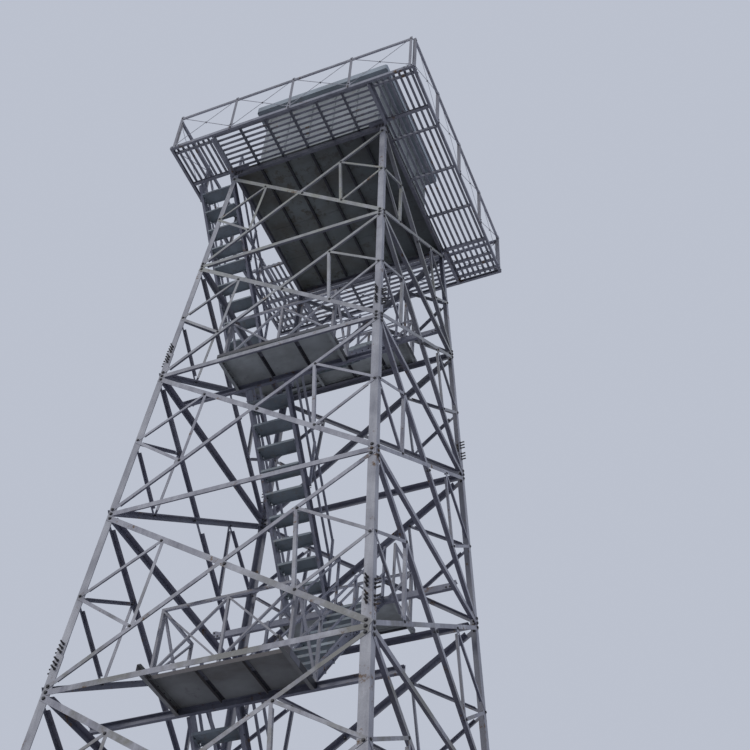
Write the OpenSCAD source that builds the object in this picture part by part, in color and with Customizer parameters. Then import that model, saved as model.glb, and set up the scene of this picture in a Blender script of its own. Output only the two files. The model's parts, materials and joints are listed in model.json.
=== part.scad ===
// Fire lookout tower: a square lattice tower of angle iron on four concrete footings,
// with a switchback stair inside it and a railed platform round a small cabin on top.
// Millimetres. X runs along the front, Y runs from the front to the rear, Z is up.
// The origin is on the ground at the tower's middle.

/* [Tower] */
// Width of the tower over the leg heels, right under the platform
top_w = 3000; // [2900:10:3200]
// How far each side leans out for each unit of height
lean = 0.05; // [0.04:0.005:0.06]
// Height of one storey, from one level of struts to the next
storey_h = 2800; // [2600:10:3000]
// Height of the concrete footings above the ground
footing_h = 280; // [200:10:350]
// Side of a footing
footing_w = 760; // [620:10:900]
// Side of the steel plate under a leg
base_plate_w = 340; // [280:10:420]
// Thickness of the steel plate under a leg
base_plate_t = 22; // [15:1:30]

/* [Angle iron] */
// Flange of the legs in the lower three storeys
leg_a = 125; // [110:1:140]
// Flange of the legs in the middle two storeys
leg_b = 110; // [95:1:120]
// Flange of the legs in the upper two storeys
leg_c = 95; // [80:1:105]
// Thickness of the leg flanges
leg_t = 10; // [8:1:14]
// Length of a splice angle where two leg sections meet
splice_l = 500; // [420:10:700]
// Height of a splice above the level of struts below it
splice_up = 260; // [220:10:360]
// Thickness of a splice angle
splice_t = 8; // [6:1:12]
// Flange of the level struts
strut_a = 80; // [65:1:90]
// Flange of the main diagonals
diag_a = 80; // [65:1:90]
// Flange of the crossing diagonals
cross_a = 60; // [50:1:70]
// Flange of the small braces in the side triangles
minor_a = 45; // [35:1:55]
// Thickness of all bracing angles
brace_t = 6; // [5:1:8]
// How far a bracing bar stops short of the leg heel
heel_gap = 22; // [15:1:30]
// How far a main diagonal runs on past its lower joint
foot_over = 32; // [0:1:34]

/* [Stair] */
// Clear width of a flight between its stringers
flight_w = 600; // [540:10:640]
// Risers in a flight from one landing to the next
risers = 10; // [10:1:11]
// Risers in the flight that starts on the ground
ground_risers = 12; // [11:1:12]
// Depth of a tread
tread_d = 250; // [220:5:280]
// Thickness of a tread, over its turned-down edges
tread_t = 40; // [30:1:50]
// Plate thickness of the treads
tread_plate = 5; // [4:1:8]
// Depth of a stringer, measured square to its slope
stringer_d = 150; // [120:5:180]
// Flange of a stringer
stringer_a = 45; // [35:1:55]
// Thickness of a stringer's web and flanges
stringer_t = 7; // [5:1:9]
// Distance of a landing's inner edge from the tower's middle
landing_in = 1050; // [1000:10:1100]
// Depth of a landing from its inner edge to its outer edge
landing_d = 750; // [700:10:780]
// Left end of a landing from the tower's middle
landing_left = 830; // [800:10:900]
// Right end of a landing from the tower's middle
landing_right = 970; // [940:10:1050]
// Depth of the beams and end ribs under a landing
landing_beam_h = 100; // [80:5:110]
// Flange of the landing beams
landing_beam_a = 50; // [45:1:60]
// Thickness of the landing beams' web and flanges
landing_beam_t = 6; // [5:1:8]
// Plate thickness of a landing's deck
deck_t = 6; // [5:1:8]
// Left edge of the left stair lane from the tower's middle
left_lane = 660; // [640:5:700]
// Left edge of the right stair lane from the tower's middle
right_lane = 200; // [170:5:240]
// Outer edge of the top flight's lane from the tower's middle
outer_lane = 2190; // [2175:5:2200]
// Where the top flight starts, behind the tower's middle
top_flight_start = 650; // [600:10:700]
// Height of handrails and landing rails
rail_h = 950; // [900:10:1050]
// Side of the square handrail tube
rail_w = 34; // [28:1:40]

/* [Platform] */
// Width of the walkway from the floor's edge to its outer edge
walk_w = 880; // [840:10:920]
// Depth of the ring beams on the legs
ring_h = 110; // [100:5:140]
// Flange of the ring beams
ring_a = 55; // [50:1:65]
// Thickness of the ring beams
ring_t = 7; // [6:1:9]
// Height of the ring beams above the legs' top joints
leg_stub = 70; // [50:5:100]
// Depth of the joists on the ring beams
joist_h = 60; // [50:1:75]
// Width of a joist
joist_w = 35; // [28:1:45]
// Number of joists under the floor
joists_n = 5; // [4:1:6]
// Thickness of the floor plate
floor_t = 8; // [6:1:10]
// Thickness of the walkway's slats
slat_t = 18; // [15:1:25]
// Width of a walkway slat
slat_w = 42; // [38:1:50]
// Number of slats across a walkway
slats_n = 8; // [7:1:8]
// Depth of the walkway's outer edge beam
edge_h = 75; // [65:5:100]
// Flange of the walkway's outer edge beam
edge_a = 45; // [38:1:50]
// Depth of the channels that carry the platform's corners out over the ring beams
outrigger_h = 140; // [120:5:170]
// Rear end of the stair opening, behind the tower's middle
hatch_rear = 700; // [650:10:760]
// Height of the platform's railing above the slats
guard_h = 960; // [900:10:1050]
// How far the railing's posts stand above its top rail
guard_over = 40; // [20:1:60]
// Flange of the railing's angle-iron posts and rails
guard_a = 50; // [40:1:60]
// Thickness of the railing's angle iron
guard_t = 5; // [4:1:6]
// Bays on each side of the railing
guard_bays = 4; // [3:1:5]
// Width of the thin crossing rods in the railing
rod_w = 12; // [10:1:16]

/* [Cabin] */
// Outer width of the cabin
cabin_w = 2400; // [2300:10:2500]
// Height of the cabin's walls above the floor
wall_h = 2190; // [2100:10:2300]
// Thickness of the cabin's walls
wall_t = 50; // [40:1:70]
// Overhang of the roof beyond the walls
eaves = 190; // [150:10:240]
// Depth of the roof's edge
roof_h = 150; // [120:5:180]
// Thickness of the roof's deck inside its raised rim
roof_t = 50; // [40:1:70]
// Width of the raised rim
rim_w = 70; // [60:1:90]
// Radius of the rim's corners
rim_r = 45; // [30:1:55]
// Width of the doorway in the rear wall
door_w = 760; // [700:10:820]
// Height of the doorway
door_h = 1950; // [1900:10:2000]
// Thickness of the door leaf
door_t = 40; // [35:1:50]
// Width of the window in the left wall
window_w = 1100; // [900:10:1300]
// Height of the window
window_h = 760; // [600:10:850]
// Height of the window's sill above the floor
sill_h = 950; // [900:10:1050]
// Thickness of the window glass
glass_t = 8; // [6:1:12]

/* [Hidden] */

galvanised = "lightsteelblue";
shaded_steel = "slategray";
plate_steel = "darkslategray";
concrete = "darkgray";
cladding = "gray";

storeys = 7;
front_side = 0;
right_side = 1;
rear_side = 2;
left_side = 3;

// Levels of the tower: level 0 is the foot of the legs, level 7 the top
platform_z = footing_h + storeys * storey_h + leg_stub;
function level_z(k) = footing_h + k * storey_h;
function half_at(z) = top_w / 2 + lean * (platform_z - z);
foot_half = half_at(footing_h);

// The outstanding flange of a bar starts this far in from the edge of its flat
edge_step = 1;

// Slope of a side: heights along it are longer than plumb ones by this factor
side_tilt = atan(lean);
slope_len = 1 / cos(side_tilt);
// A leg leans in two directions at once
leg_len = sqrt(1 + 2 * lean * lean);
leg_x = lean / leg_len;
leg_corner = acos(-lean * lean / (1 + lean * lean));

// The platform's layers, from the legs up
joist_z = platform_z + ring_h;
floor_z = joist_z + joist_h;
floor_top = floor_z + floor_t;
walk_top = floor_z + slat_t;
walk_half = top_w / 2 + walk_w;
slat_pitch = (walk_w - guard_a) / slats_n;
joist_pitch = top_w / (joists_n + 1);
walk_reach = walk_half - edge_a;
slat_reach = walk_half - max(edge_a, guard_a);
roof_w = cabin_w + 2 * eaves;

// Landings: odd ones lie at the front, even ones at the rear
// Their beams stand on the inward flanges of the struts, and their rails clear the diagonals
function leg_flange(k) = k < 4 ? leg_a : k < 6 ? leg_b : leg_c;
seat_gap = 1;
face_gap = 4;
rail_gap = 20;
deck_up = strut_a / 2 + seat_gap + landing_beam_h + deck_t;
function deck_top(k) = k == 0 ? 0 : level_z(k) + deck_up;
function beam_z(k) = deck_top(k) - deck_t - landing_beam_h;
function face_in(k) = half_at(beam_z(k) + landing_beam_h) - face_gap;
function deck_out(k) = min(landing_in + landing_d, face_in(k));
function landing_out(k) = min(landing_in + landing_d, half_at(deck_top(k) + rail_h) - diag_a - rail_gap);
function landing_side(k) = k % 2 == 1 ? -1 : 1;
landing_w = landing_left + landing_right;
// The top landing reaches out past the left side, under the top flight
wing_end = outer_lane + stringer_a;
wing_in = top_flight_start;

left_lane_x = -left_lane;
right_lane_x = right_lane;
outer_lane_x = -outer_lane;

// A rigid turn and shift that puts local x, y and z along three unit vectors
module along(p, x, y, z) {
    multmatrix([
        [x[0], y[0], z[0], p[0]],
        [x[1], y[1], z[1], p[1]],
        [x[2], y[2], z[2], p[2]],
        [0, 0, 0, 1]
    ])
        children();
}

// Outline of an angle iron whose flanges stand at the angle turn
module angle_2d(a, t, turn = 90) {
    u = [cos(turn), sin(turn)];
    n = [sin(turn), -cos(turn)];
    root = t / sin(turn) * (1 + cos(turn));
    polygon([
        [0, 0], [a, 0], [a, t], [root, t],
        a * u + t * n, a * u
    ]);
}

// Outline of a channel: web on the y axis, flanges along x
module channel_2d(h, a, t) {
    polygon([[0, 0], [a, 0], [a, t], [t, t], [t, h - t], [a, h - t], [a, h], [0, h]]);
}

// Puts what lies in a side's own plane on that side: x across it, y up along it, z outwards
module on_side(k) {
    rotate([0, 0, 90 * k])
        translate([0, -foot_half, footing_h])
            rotate([90 - side_tilt, 0, 0])
                children();
}

function side_v(z) = (z - footing_h) * slope_len;

// Flat of a bracing bar from a to b, in its side's plane
module bar_flat(a, b, size) {
    d = b - a;
    translate(a)
        rotate(atan2(d[1], d[0]))
            translate([0, -size / 2])
                square([norm(d), size]);
}

// Its flange, which points inwards along the upper edge of a bar that runs from left to right.
// It is cut back at both ends so that crossing bars clear each other.
module bar_flange(a, b, size, cope_a, cope_b) {
    d = b - a;
    translate([a[0], a[1], 0])
        rotate([0, 0, atan2(d[1], d[0])])
            translate([cope_a + edge_step, size / 2 - brace_t - edge_step, brace_t - size])
                cube([norm(d) - cope_a - cope_b - 2 * edge_step, brace_t, size - brace_t / 2]);
}

// How far a bar's flange is cut back to clear the flange of a leg
leg_gap = 12;
function leg_cope(k, bar, size) =
    let (d = bar[1] - bar[0])
        (leg_flange(k) - heel_gap + leg_gap) * norm(d) / abs(d[0]) + size / 2 * abs(d[1] / d[0]);

// Legs

module leg_piece(z0, z1, a) {
    d = [leg_x, leg_x, 1 / leg_len];
    x = [sqrt(1 - leg_x * leg_x), -leg_x * leg_x / sqrt(1 - leg_x * leg_x), -leg_x / leg_len / sqrt(1 - leg_x * leg_x)];
    h0 = half_at(z0);
    along([-h0, -h0, z0], x, cross(d, x), d)
        linear_extrude(height = (z1 - z0) * leg_len)
            angle_2d(a, leg_t, leg_corner);
}

// Splice: a smaller angle nested inside the heel, across the joint of two leg pieces
module leg_splice(z, a) {
    inner = leg_t;
    d = [leg_x, leg_x, 1 / leg_len];
    x = [sqrt(1 - leg_x * leg_x), -leg_x * leg_x / sqrt(1 - leg_x * leg_x), -leg_x / leg_len / sqrt(1 - leg_x * leg_x)];
    h0 = half_at(z);
    along([-h0, -h0, z], x, cross(d, x), d)
        translate([inner, inner, 0])
            linear_extrude(height = splice_l)
                angle_2d(a - inner - 4, splice_t, leg_corner);
}

splice_low_z = level_z(3) + splice_up + splice_l / 2;
splice_high_z = level_z(5) + splice_up + splice_l / 2;

module front_left_leg() {
    color(galvanised) {
        leg_piece(footing_h + base_plate_t, splice_low_z, leg_a);
        leg_piece(splice_low_z, splice_high_z, leg_b);
        leg_piece(splice_high_z, platform_z, leg_c);
        leg_splice(splice_low_z - splice_l / 2, leg_b);
        leg_splice(splice_high_z - splice_l / 2, leg_c);
        translate([-foot_half + leg_a / 2 - base_plate_w / 2, -foot_half + leg_a / 2 - base_plate_w / 2, footing_h])
            cube([base_plate_w, base_plate_w, base_plate_t]);
    }
}

module leg_front_left() {
    front_left_leg();
}

module leg_front_right() {
    mirror([1, 0, 0])
        front_left_leg();
}

module leg_rear_right() {
    rotate([0, 0, 180])
        front_left_leg();
}

module leg_rear_left() {
    mirror([0, 1, 0])
        front_left_leg();
}

module footings() {
    c = foot_half - leg_a / 2;
    color(concrete)
        for (sx = [-1, 1], sy = [-1, 1])
            translate([sx * c - footing_w / 2, sy * c - footing_w / 2, 0])
                cube([footing_w, footing_w, footing_h]);
}

// Bracing

// Ends of a bar on the left and right leg at a height, kept off the heels
function on_left(z) = [-half_at(z) + heel_gap, side_v(z)];
function on_right(z) = [half_at(z) - heel_gap, side_v(z)];
function between(a, b, f) = a + (b - a) * f;

// Joints are spread up and down the leg, with the bars' ends lapped over the strut's edge
joint_lap = 15;
joint_up = (strut_a + cross_a) / 2 - joint_lap;

// Ends of a storey's bars: heavy diagonal, light diagonal, then each side's three small braces
function diagonal(k) = [on_left(level_z(k + 1) - joint_up), on_right(level_z(k) + joint_up)];
// The lowest ones stop short, over the base plates
function foot_run(k) = k == 0 ? 0 : foot_over;
function past_foot(k, bar) = bar[1] + (bar[1] - bar[0]) / norm(bar[1] - bar[0]) * foot_run(k);
function crossing(k) = [on_left(level_z(k) + joint_up), on_right(level_z(k + 1) - joint_up)];
function leg_middle(k, s) = s < 0 ? on_left(level_z(k) + storey_h / 2) : on_right(level_z(k) + storey_h / 2);
function quarter(bar, s) = between(bar[0], bar[1], s < 0 ? 0.25 : 0.75);
// Bars run from left to right, so that their flanges lie along their upper edges
function rightwards(s, a, b) = s < 0 ? [a, b] : [b, a];
function leg_braces(k, s) = [
    rightwards(s, leg_middle(k, s), quarter(diagonal(k), s)),
    rightwards(s, leg_middle(k, s), quarter(crossing(k), s))
];
function post_brace(k, s) = [quarter(crossing(k), s), quarter(diagonal(k), s)];

module storey_flats(k) {
    bar_flat(diagonal(k)[0], past_foot(k, diagonal(k)), diag_a);
    bar_flat(crossing(k)[0], crossing(k)[1], cross_a);
    for (s = [-1, 1]) {
        for (bar = leg_braces(k, s))
            bar_flat(bar[0], bar[1], minor_a);
        bar_flat(post_brace(k, s)[0], post_brace(k, s)[1], minor_a);
    }
}

module storey_flanges(k) {
    d = diagonal(k);
    c = crossing(k);
    d_leg = leg_cope(k, d, diag_a);
    c_leg = leg_cope(k, c, cross_a);
    middle = between(c[0], c[1], 0.5);
    bar_flange(d[0], d[1], diag_a, d_leg, d_leg);
    bar_flange(c[0], middle, cross_a, c_leg, diag_a * 1.5);
    bar_flange(middle, c[1], cross_a, diag_a * 1.5, c_leg);
    for (s = [-1, 1]) {
        for (bar = leg_braces(k, s)) {
            leg_end = leg_cope(k, bar, minor_a);
            bar_flange(bar[0], bar[1], minor_a, s < 0 ? leg_end : diag_a * 1.5, s < 0 ? diag_a * 1.5 : leg_end);
        }
        bar_flange(post_brace(k, s)[0], post_brace(k, s)[1], minor_a, cross_a * 1.5, diag_a * 1.5);
    }
}

function level_strut(k) = [on_left(level_z(k)), on_right(level_z(k))];

module bracing(side, first, last) {
    color(side == front_side || side == left_side ? galvanised : shaded_steel)
        on_side(side) {
            linear_extrude(height = brace_t) {
                for (k = [first : last])
                    storey_flats(k);
                for (k = [1 : storeys - 1])
                    bar_flat(level_strut(k)[0], level_strut(k)[1], strut_a);
            }
            for (k = [first : last])
                storey_flanges(k);
            for (k = [1 : storeys - 1])
                bar_flange(
                    level_strut(k)[0], level_strut(k)[1], strut_a,
                    leg_cope(k, level_strut(k), strut_a), leg_cope(k, level_strut(k), strut_a)
                );
        }
}

module bracing_front() {
    bracing(front_side, 0, storeys - 1);
}

module bracing_right() {
    bracing(right_side, 0, storeys - 1);
}

// The lowest storey at the rear is the way in, and has the portal below
module bracing_rear() {
    bracing(rear_side, 1, storeys - 1);
}

// The top storey at the left is open, because the top landing and flight pass through it
module bracing_left() {
    bracing(left_side, 0, storeys - 2);
}

// Two bars that lean together over the way in, and meet under the first level's strut
module entry_portal() {
    foot_z = level_z(0) + joint_up;
    top_v = side_v(level_z(1)) - strut_a / 2;
    color(shaded_steel)
        on_side(rear_side)
            for (s = [-1, 1]) {
                foot = s < 0 ? on_left(foot_z) : on_right(foot_z);
                top = [s * diag_a * 0.7, top_v - diag_a * 0.4];
                foot_cope = leg_cope(0, [foot, top], diag_a);
                linear_extrude(height = brace_t)
                    intersection() {
                        bar_flat(foot, top + (top - foot) * 0.02, diag_a);
                        translate([s > 0 ? 1 : -half_at(0) - 1, 0])
                            square([half_at(0), top_v]);
                    }
                bar_flange(
                    s < 0 ? foot : top, s < 0 ? top : foot, diag_a,
                    s < 0 ? foot_cope : diag_a, s < 0 ? diag_a : foot_cope
                );
            }
}

// Landings

// Children are drawn at the rear, and odd levels have their landing at the front
module at_landing(k) {
    if (k % 2 == 1)
        mirror([0, 1, 0])
            children();
    else
        children();
}

// A section that runs along x from x0, its local x pointing along y and its local y up
module along_x(x0, x1, y, z) {
    translate([x0, y, z])
        rotate([90, 0, 90])
            linear_extrude(height = x1 - x0)
                children();
}

// A section that runs along y, its local x pointing along x and its local y up
module along_y(y0, y1, x, z) {
    translate([x, y1, z])
        rotate([90, 0, 0])
            linear_extrude(height = y1 - y0)
                children();
}

module landing_channel_2d() {
    channel_2d(landing_beam_h, landing_beam_a, landing_beam_t);
}

// Angle whose flange lies under the deck and whose web hangs down
module landing_angle_2d() {
    mirror([0, 1, 0])
        angle_2d(landing_beam_a, landing_beam_t);
}

// One deep channel along a landing's inner edge, from the left side's strut to the right side's
module landing_frame(k) {
    left = k == 6 ? wing_end - landing_beam_a : face_in(k);
    at_landing(k)
        along_x(-left, face_in(k), landing_in, beam_z(k))
            landing_channel_2d();
}

module landing_ribs(k) {
    near = landing_in + landing_beam_a;
    under_deck = deck_top(k) - deck_t;
    // The end ribs reach out to the strut of the face
    along_y(near, face_in(k), -landing_left, beam_z(k))
        landing_channel_2d();
    along_y(near, face_in(k), landing_right, beam_z(k))
        mirror([1, 0, 0])
            landing_channel_2d();
    for (f = [1 / 3, 2 / 3])
        along_y(near, deck_out(k) - landing_beam_t, -landing_left + f * landing_w, under_deck)
            landing_angle_2d();
    along_x(-landing_left + landing_beam_t, landing_right - landing_beam_t, deck_out(k), under_deck)
        mirror([1, 0, 0])
            landing_angle_2d();
}

module landing_deck(k) {
    translate([-landing_left, landing_in, deck_top(k) - deck_t])
        cube([landing_w, deck_out(k) - landing_in, deck_t]);
}

module landing(k) {
    color(plate_steel)
        at_landing(k) {
            landing_ribs(k);
            landing_deck(k);
        }
}

module landing_beams() {
    color(shaded_steel)
        for (k = [1 : storeys - 1])
            landing_frame(k);
}

module landing_1() {
    landing(1);
}

module landing_2() {
    landing(2);
}

module landing_3() {
    landing(3);
}

module landing_4() {
    landing(4);
}

module landing_5() {
    landing(5);
}

// Sides of the square notch that the wing's deck has round the rear left leg
notch_out = half_at(deck_top(6) - deck_t) + leg_gap;
notch_in = half_at(deck_top(6)) - leg_c - leg_gap;

module wing_deck_2d() {
    y = deck_out(6);
    polygon([
        [-wing_end, wing_in], [-landing_left, wing_in], [-landing_left, y], [-notch_in, y],
        [-notch_in, notch_in], [-notch_out, notch_in], [-notch_out, y], [-wing_end, y]
    ]);
}

// The top landing has a wing that carries the foot of the top flight outside the tower
module landing_6() {
    z = beam_z(6);
    under_deck = deck_top(6) - deck_t;
    landing(6);
    color(plate_steel) {
        translate([0, 0, under_deck])
            linear_extrude(height = deck_t)
                wing_deck_2d();
        // Edge angles on both sides of the notch
        for (x = [[-wing_end, -notch_out], [-notch_in, -landing_left]])
            along_x(x[0], x[1], deck_out(6), under_deck)
                mirror([1, 0, 0])
                    landing_angle_2d();
        along_x(-wing_end, -landing_left, wing_in, z)
            landing_channel_2d();
        along_x(-wing_end, -landing_left, landing_out(6), z)
            mirror([1, 0, 0])
                landing_channel_2d();
        along_y(wing_in, deck_out(6), -wing_end, z)
            landing_channel_2d();
        along_y(wing_in, landing_in, -landing_left, z)
            mirror([1, 0, 0])
                landing_channel_2d();
    }
}

// Rails of square tube in one upright plane, seen in it: u along, v up
module rail_bar(a, b, w) {
    d = b - a;
    translate(a)
        rotate(atan2(d[1], d[0]))
            translate([0, -w / 2])
                square([norm(d), w]);
}

module rail_panel_2d(l) {
    bays = l > 1000 ? 2 : 1;
    bay = (l - rail_w) / bays;
    for (i = [0 : bays])
        translate([i * bay, 0])
            square([rail_w, rail_h]);
    translate([0, rail_h - rail_w])
        square([l, rail_w]);
    for (i = [0 : bays - 1]) {
        x0 = i * bay + rail_w / 2;
        rail_bar([x0, rail_w], [x0 + bay, rail_h - rail_w], rail_w * 0.6);
        rail_bar([x0 + bay, rail_w], [x0, rail_h - rail_w], rail_w * 0.6);
    }
}

module rail_panel(l) {
    rotate([90, 0, 0])
        linear_extrude(height = rail_w, center = true)
            rail_panel_2d(l);
}

module landing_rails(k) {
    s = landing_side(k);
    y_out = s * (landing_out(k) - rail_w / 2);
    side_l = landing_out(k) - landing_in - rail_w - 4;
    translate([-landing_left, y_out, deck_top(k)])
        rail_panel(landing_w);
    ends = k == 6 ? [landing_right - rail_w / 2] : [-landing_left + rail_w / 2, landing_right - rail_w / 2];
    for (x = ends)
        translate([x, s > 0 ? landing_in : -landing_in - side_l, deck_top(k)])
            rotate([0, 0, 90])
                rail_panel(side_l);
}

module landing_rails_front() {
    color(galvanised)
        for (k = [1, 3, 5])
            landing_rails(k);
}

module landing_rails_rear() {
    color(shaded_steel) {
        for (k = [2, 4, 6])
            landing_rails(k);
        // Round the wing of the top landing
        translate([-wing_end, landing_out(6) - rail_w / 2, deck_top(6)])
            rail_panel(wing_end - landing_left - 4);
        translate([-wing_end + rail_w / 2, wing_in + 200, deck_top(6)])
            rotate([0, 0, 90])
                rail_panel(landing_out(6) - wing_in - 200 - rail_w - 4);
    }
}

// Flights

function flight_run(k) = k == storeys ? top_flight_start + top_w / 2 : k == 1 ? run_of(ground_risers) : 2 * landing_in;
going = 2 * landing_in / risers;
function run_of(n) = n * going;
function flight_risers(k) = k == 1 ? ground_risers : risers;
function flight_low(k) = deck_top(k - 1);
function flight_high(k) = k == storeys ? walk_top : deck_top(k);
function flight_x(k) = k == storeys ? outer_lane_x : k % 2 == 1 ? left_lane_x : right_lane_x;

// Side outline of a stringer that rises along x, cut level at its foot and top and plumb at its end
module stringer_2d(run, rise, half) {
    m = rise / run;
    polygon([[-half / m, 0], [half / m, 0], [run, rise - half], [run, rise], [run - half / m, rise]]);
}

// The two stringers of a flight that rises along +x from the origin, with its width along y
module stringer_pair(run, rise) {
    m = rise / run;
    slope = sqrt(run * run + rise * rise) / run;
    half = stringer_d / 2 * slope;
    inner = half - stringer_t * slope;
    lower_flange = [[inner / m, 0], [half / m, 0], [run, rise - half], [run, rise - inner]];
    upper_flange = [[-half / m, 0], [-inner / m, 0], [run - inner / m, rise], [run - half / m, rise]];
    for (s = [0, 1]) {
        translate([0, s * (flight_w + stringer_t), 0])
            rotate([90, 0, 0])
                linear_extrude(height = stringer_t)
                    stringer_2d(run, rise, half);
        translate([0, s == 0 ? 0 : flight_w + stringer_a, 0])
            rotate([90, 0, 0])
                linear_extrude(height = stringer_a) {
                    polygon(lower_flange);
                    polygon(upper_flange);
                }
    }
}

// The treads of that flight, plates with both long edges turned down
module tread_set(run, rise, n) {
    for (i = [1 : n - 1])
        translate([i * run / n - tread_d / 2, 0, i * rise / n])
            rotate([-90, 0, 0])
                linear_extrude(height = flight_w)
                    difference() {
                        square([tread_d, tread_t]);
                        translate([tread_plate, tread_plate])
                            square([tread_d - 2 * tread_plate, tread_t]);
                    }
}

// Odd flights rise towards the front and even ones towards the rear
module place_flight(k) {
    run = flight_run(k);
    x = flight_x(k);
    y = k == storeys ? top_flight_start : k % 2 == 1 ? run - landing_in : -landing_in;
    translate([x, y, flight_low(k)])
        if (k % 2 == 1)
            rotate([0, 0, -90])
                children();
        else
            translate([flight_w, 0, 0])
                rotate([0, 0, 90])
                    children();
}

module stringers(k) {
    place_flight(k)
        stringer_pair(flight_run(k), flight_high(k) - flight_low(k));
}

module treads(k) {
    place_flight(k)
        tread_set(flight_run(k), flight_high(k) - flight_low(k), flight_risers(k));
}

module stringers_left_lane() {
    color(shaded_steel)
        for (k = [1, 3, 5])
            stringers(k);
}

module stringers_right_lane() {
    color(shaded_steel)
        for (k = [2, 4, 6])
            stringers(k);
}

module stringers_top_flight() {
    color(shaded_steel)
        stringers(7);
}

module treads_left_lane() {
    color(plate_steel)
        for (k = [1, 3, 5])
            treads(k);
}

module treads_right_lane() {
    color(plate_steel)
        for (k = [2, 4, 6])
            treads(k);
}

module treads_top_flight() {
    color(plate_steel)
        treads(7);
}

// Handrail of a flight in its own upright plane
module handrail_2d(run, rise) {
    m = rise / run;
    half = stringer_d / 2 * sqrt(run * run + rise * rise) / run;
    y0 = 0.06 * run;
    y1 = 0.94 * run;
    for (v = [rail_h - rail_w, rail_h / 2])
        polygon([[y0, y0 * m + v], [y1, y1 * m + v], [y1, y1 * m + v + rail_w], [y0, y0 * m + v + rail_w]]);
    for (y = [y0, (y0 + y1) / 2 - rail_w / 2, y1 - rail_w])
        translate([y, y * m + half - 30])
            square([rail_w, rail_h + rail_w * m - half + 30 - 1]);
}

module handrail_pair(k) {
    run = flight_run(k);
    rise = flight_high(k) - flight_low(k);
    place_flight(k)
        for (y = [-stringer_a, flight_w + stringer_a + rail_w])
            translate([0, y, 0])
                rotate([90, 0, 0])
                    linear_extrude(height = rail_w)
                        handrail_2d(run, rise);
}

module handrails_left_lane() {
    color(shaded_steel)
        for (k = [1, 3, 5])
            handrail_pair(k);
}

module handrails_right_lane() {
    color(shaded_steel)
        for (k = [2, 4, 6])
            handrail_pair(k);
}

module handrails_top_flight() {
    color(shaded_steel)
        handrail_pair(7);
}

// Platform

module ring_beams() {
    color(shaded_steel)
        for (k = [0 : 3])
            rotate([0, 0, 90 * k])
                translate([-top_w / 2, -top_w / 2, platform_z])
                    rotate([90, 0, 90])
                        linear_extrude(height = top_w)
                            channel_2d(ring_h, ring_a, ring_t);
}

module joists() {
    color(shaded_steel)
        for (i = [1 : joists_n])
            translate([-top_w / 2 + i * joist_pitch - joist_w / 2, -walk_reach, joist_z])
                cube([joist_w, 2 * walk_reach, joist_h]);
}

module floor_plate() {
    color(plate_steel)
        translate([-top_w / 2, -top_w / 2, floor_z])
            cube([top_w, top_w, floor_t]);
}

// Slats that run along x from x0 to x1, on the front walkway
module slats_front(x0, x1) {
    for (i = [0 : slats_n - 1])
        translate([x0, -top_w / 2 - (i + 0.5) * slat_pitch - slat_w / 2, floor_z])
            cube([x1 - x0, slat_w, slat_t]);
}

// Outer edge beam of the front walkway, a channel that opens inwards
module edge_front(x0, x1) {
    translate([x0, -walk_half, floor_z - edge_h])
        rotate([90, 0, 90])
            linear_extrude(height = x1 - x0)
                channel_2d(edge_h, edge_a, guard_t);
}

module walkway_front() {
    color(shaded_steel) {
        slats_front(-top_w / 2, top_w / 2);
        edge_front(-walk_reach, walk_reach);
    }
}

module walkway_rear() {
    rotate([0, 0, 180])
        walkway_front();
}

// Cross bearers under a side walkway, at y
bearer_pitch = 0.3 * top_w;
bearer_middle = -top_w / 15;
module bearer_right(y) {
    translate([top_w / 2 - ring_a, y - joist_w / 2, joist_z])
        cube([walk_w + ring_a - edge_a, joist_w, joist_h]);
}

// Bearers beyond the floor's corners: one beside each edge beam, and a close pair at the rear
pair_gap = 170;
edge_bearer = 100;
module corner_bearers_right() {
    pair_y = (top_w + walk_w) / 2 + ring_a / 2;
    edge_y = walk_reach - edge_bearer;
    for (y = [-edge_y, pair_y - pair_gap / 2, pair_y + pair_gap / 2, edge_y])
        translate([top_w / 2 + ring_a, y - joist_w / 2, joist_z])
            cube([walk_w - ring_a - edge_a, joist_w, joist_h]);
}

// Two channels that carry the platform's front right corner: one lies on the ring beams, level
// with the joists, and the deeper one runs on outwards from their corner
module outriggers_front_right() {
    along_x(top_w / 2 - 0.6 * joist_pitch, walk_reach, -top_w / 2, joist_z)
        mirror([1, 0, 0])
            channel_2d(joist_h, ring_a, ring_t);
    along_y(-walk_reach, -top_w / 2, top_w / 2, floor_z - outrigger_h)
        channel_2d(outrigger_h, ring_a, ring_t);
}

module corners_right() {
    corner_bearers_right();
    outriggers_front_right();
    mirror([0, 1, 0])
        outriggers_front_right();
}

module slats_right(y0, y1) {
    for (i = [0 : slats_n - 1])
        translate([top_w / 2 + (i + 0.5) * slat_pitch - slat_w / 2, y0, floor_z])
            cube([slat_w, y1 - y0, slat_t]);
}

module walkway_right() {
    color(shaded_steel) {
        slats_right(-slat_reach, slat_reach);
        corners_right();
        for (i = [-1 : 1])
            bearer_right(bearer_middle + i * bearer_pitch);
        rotate([0, 0, 90])
            edge_front(-walk_half, walk_half);
    }
}

// The left walkway is open between the floor's front corner and the rear end of the stair opening
module walkway_left() {
    color(shaded_steel)
        mirror([1, 0, 0]) {
            slats_right(-slat_reach, -top_w / 2);
            slats_right(hatch_rear, slat_reach);
            corners_right();
            for (y = [hatch_rear + joist_w / 2, (hatch_rear + top_w / 2) / 2])
                bearer_right(y);
            rotate([0, 0, 90])
                edge_front(-walk_half, walk_half);
        }
}

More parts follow.
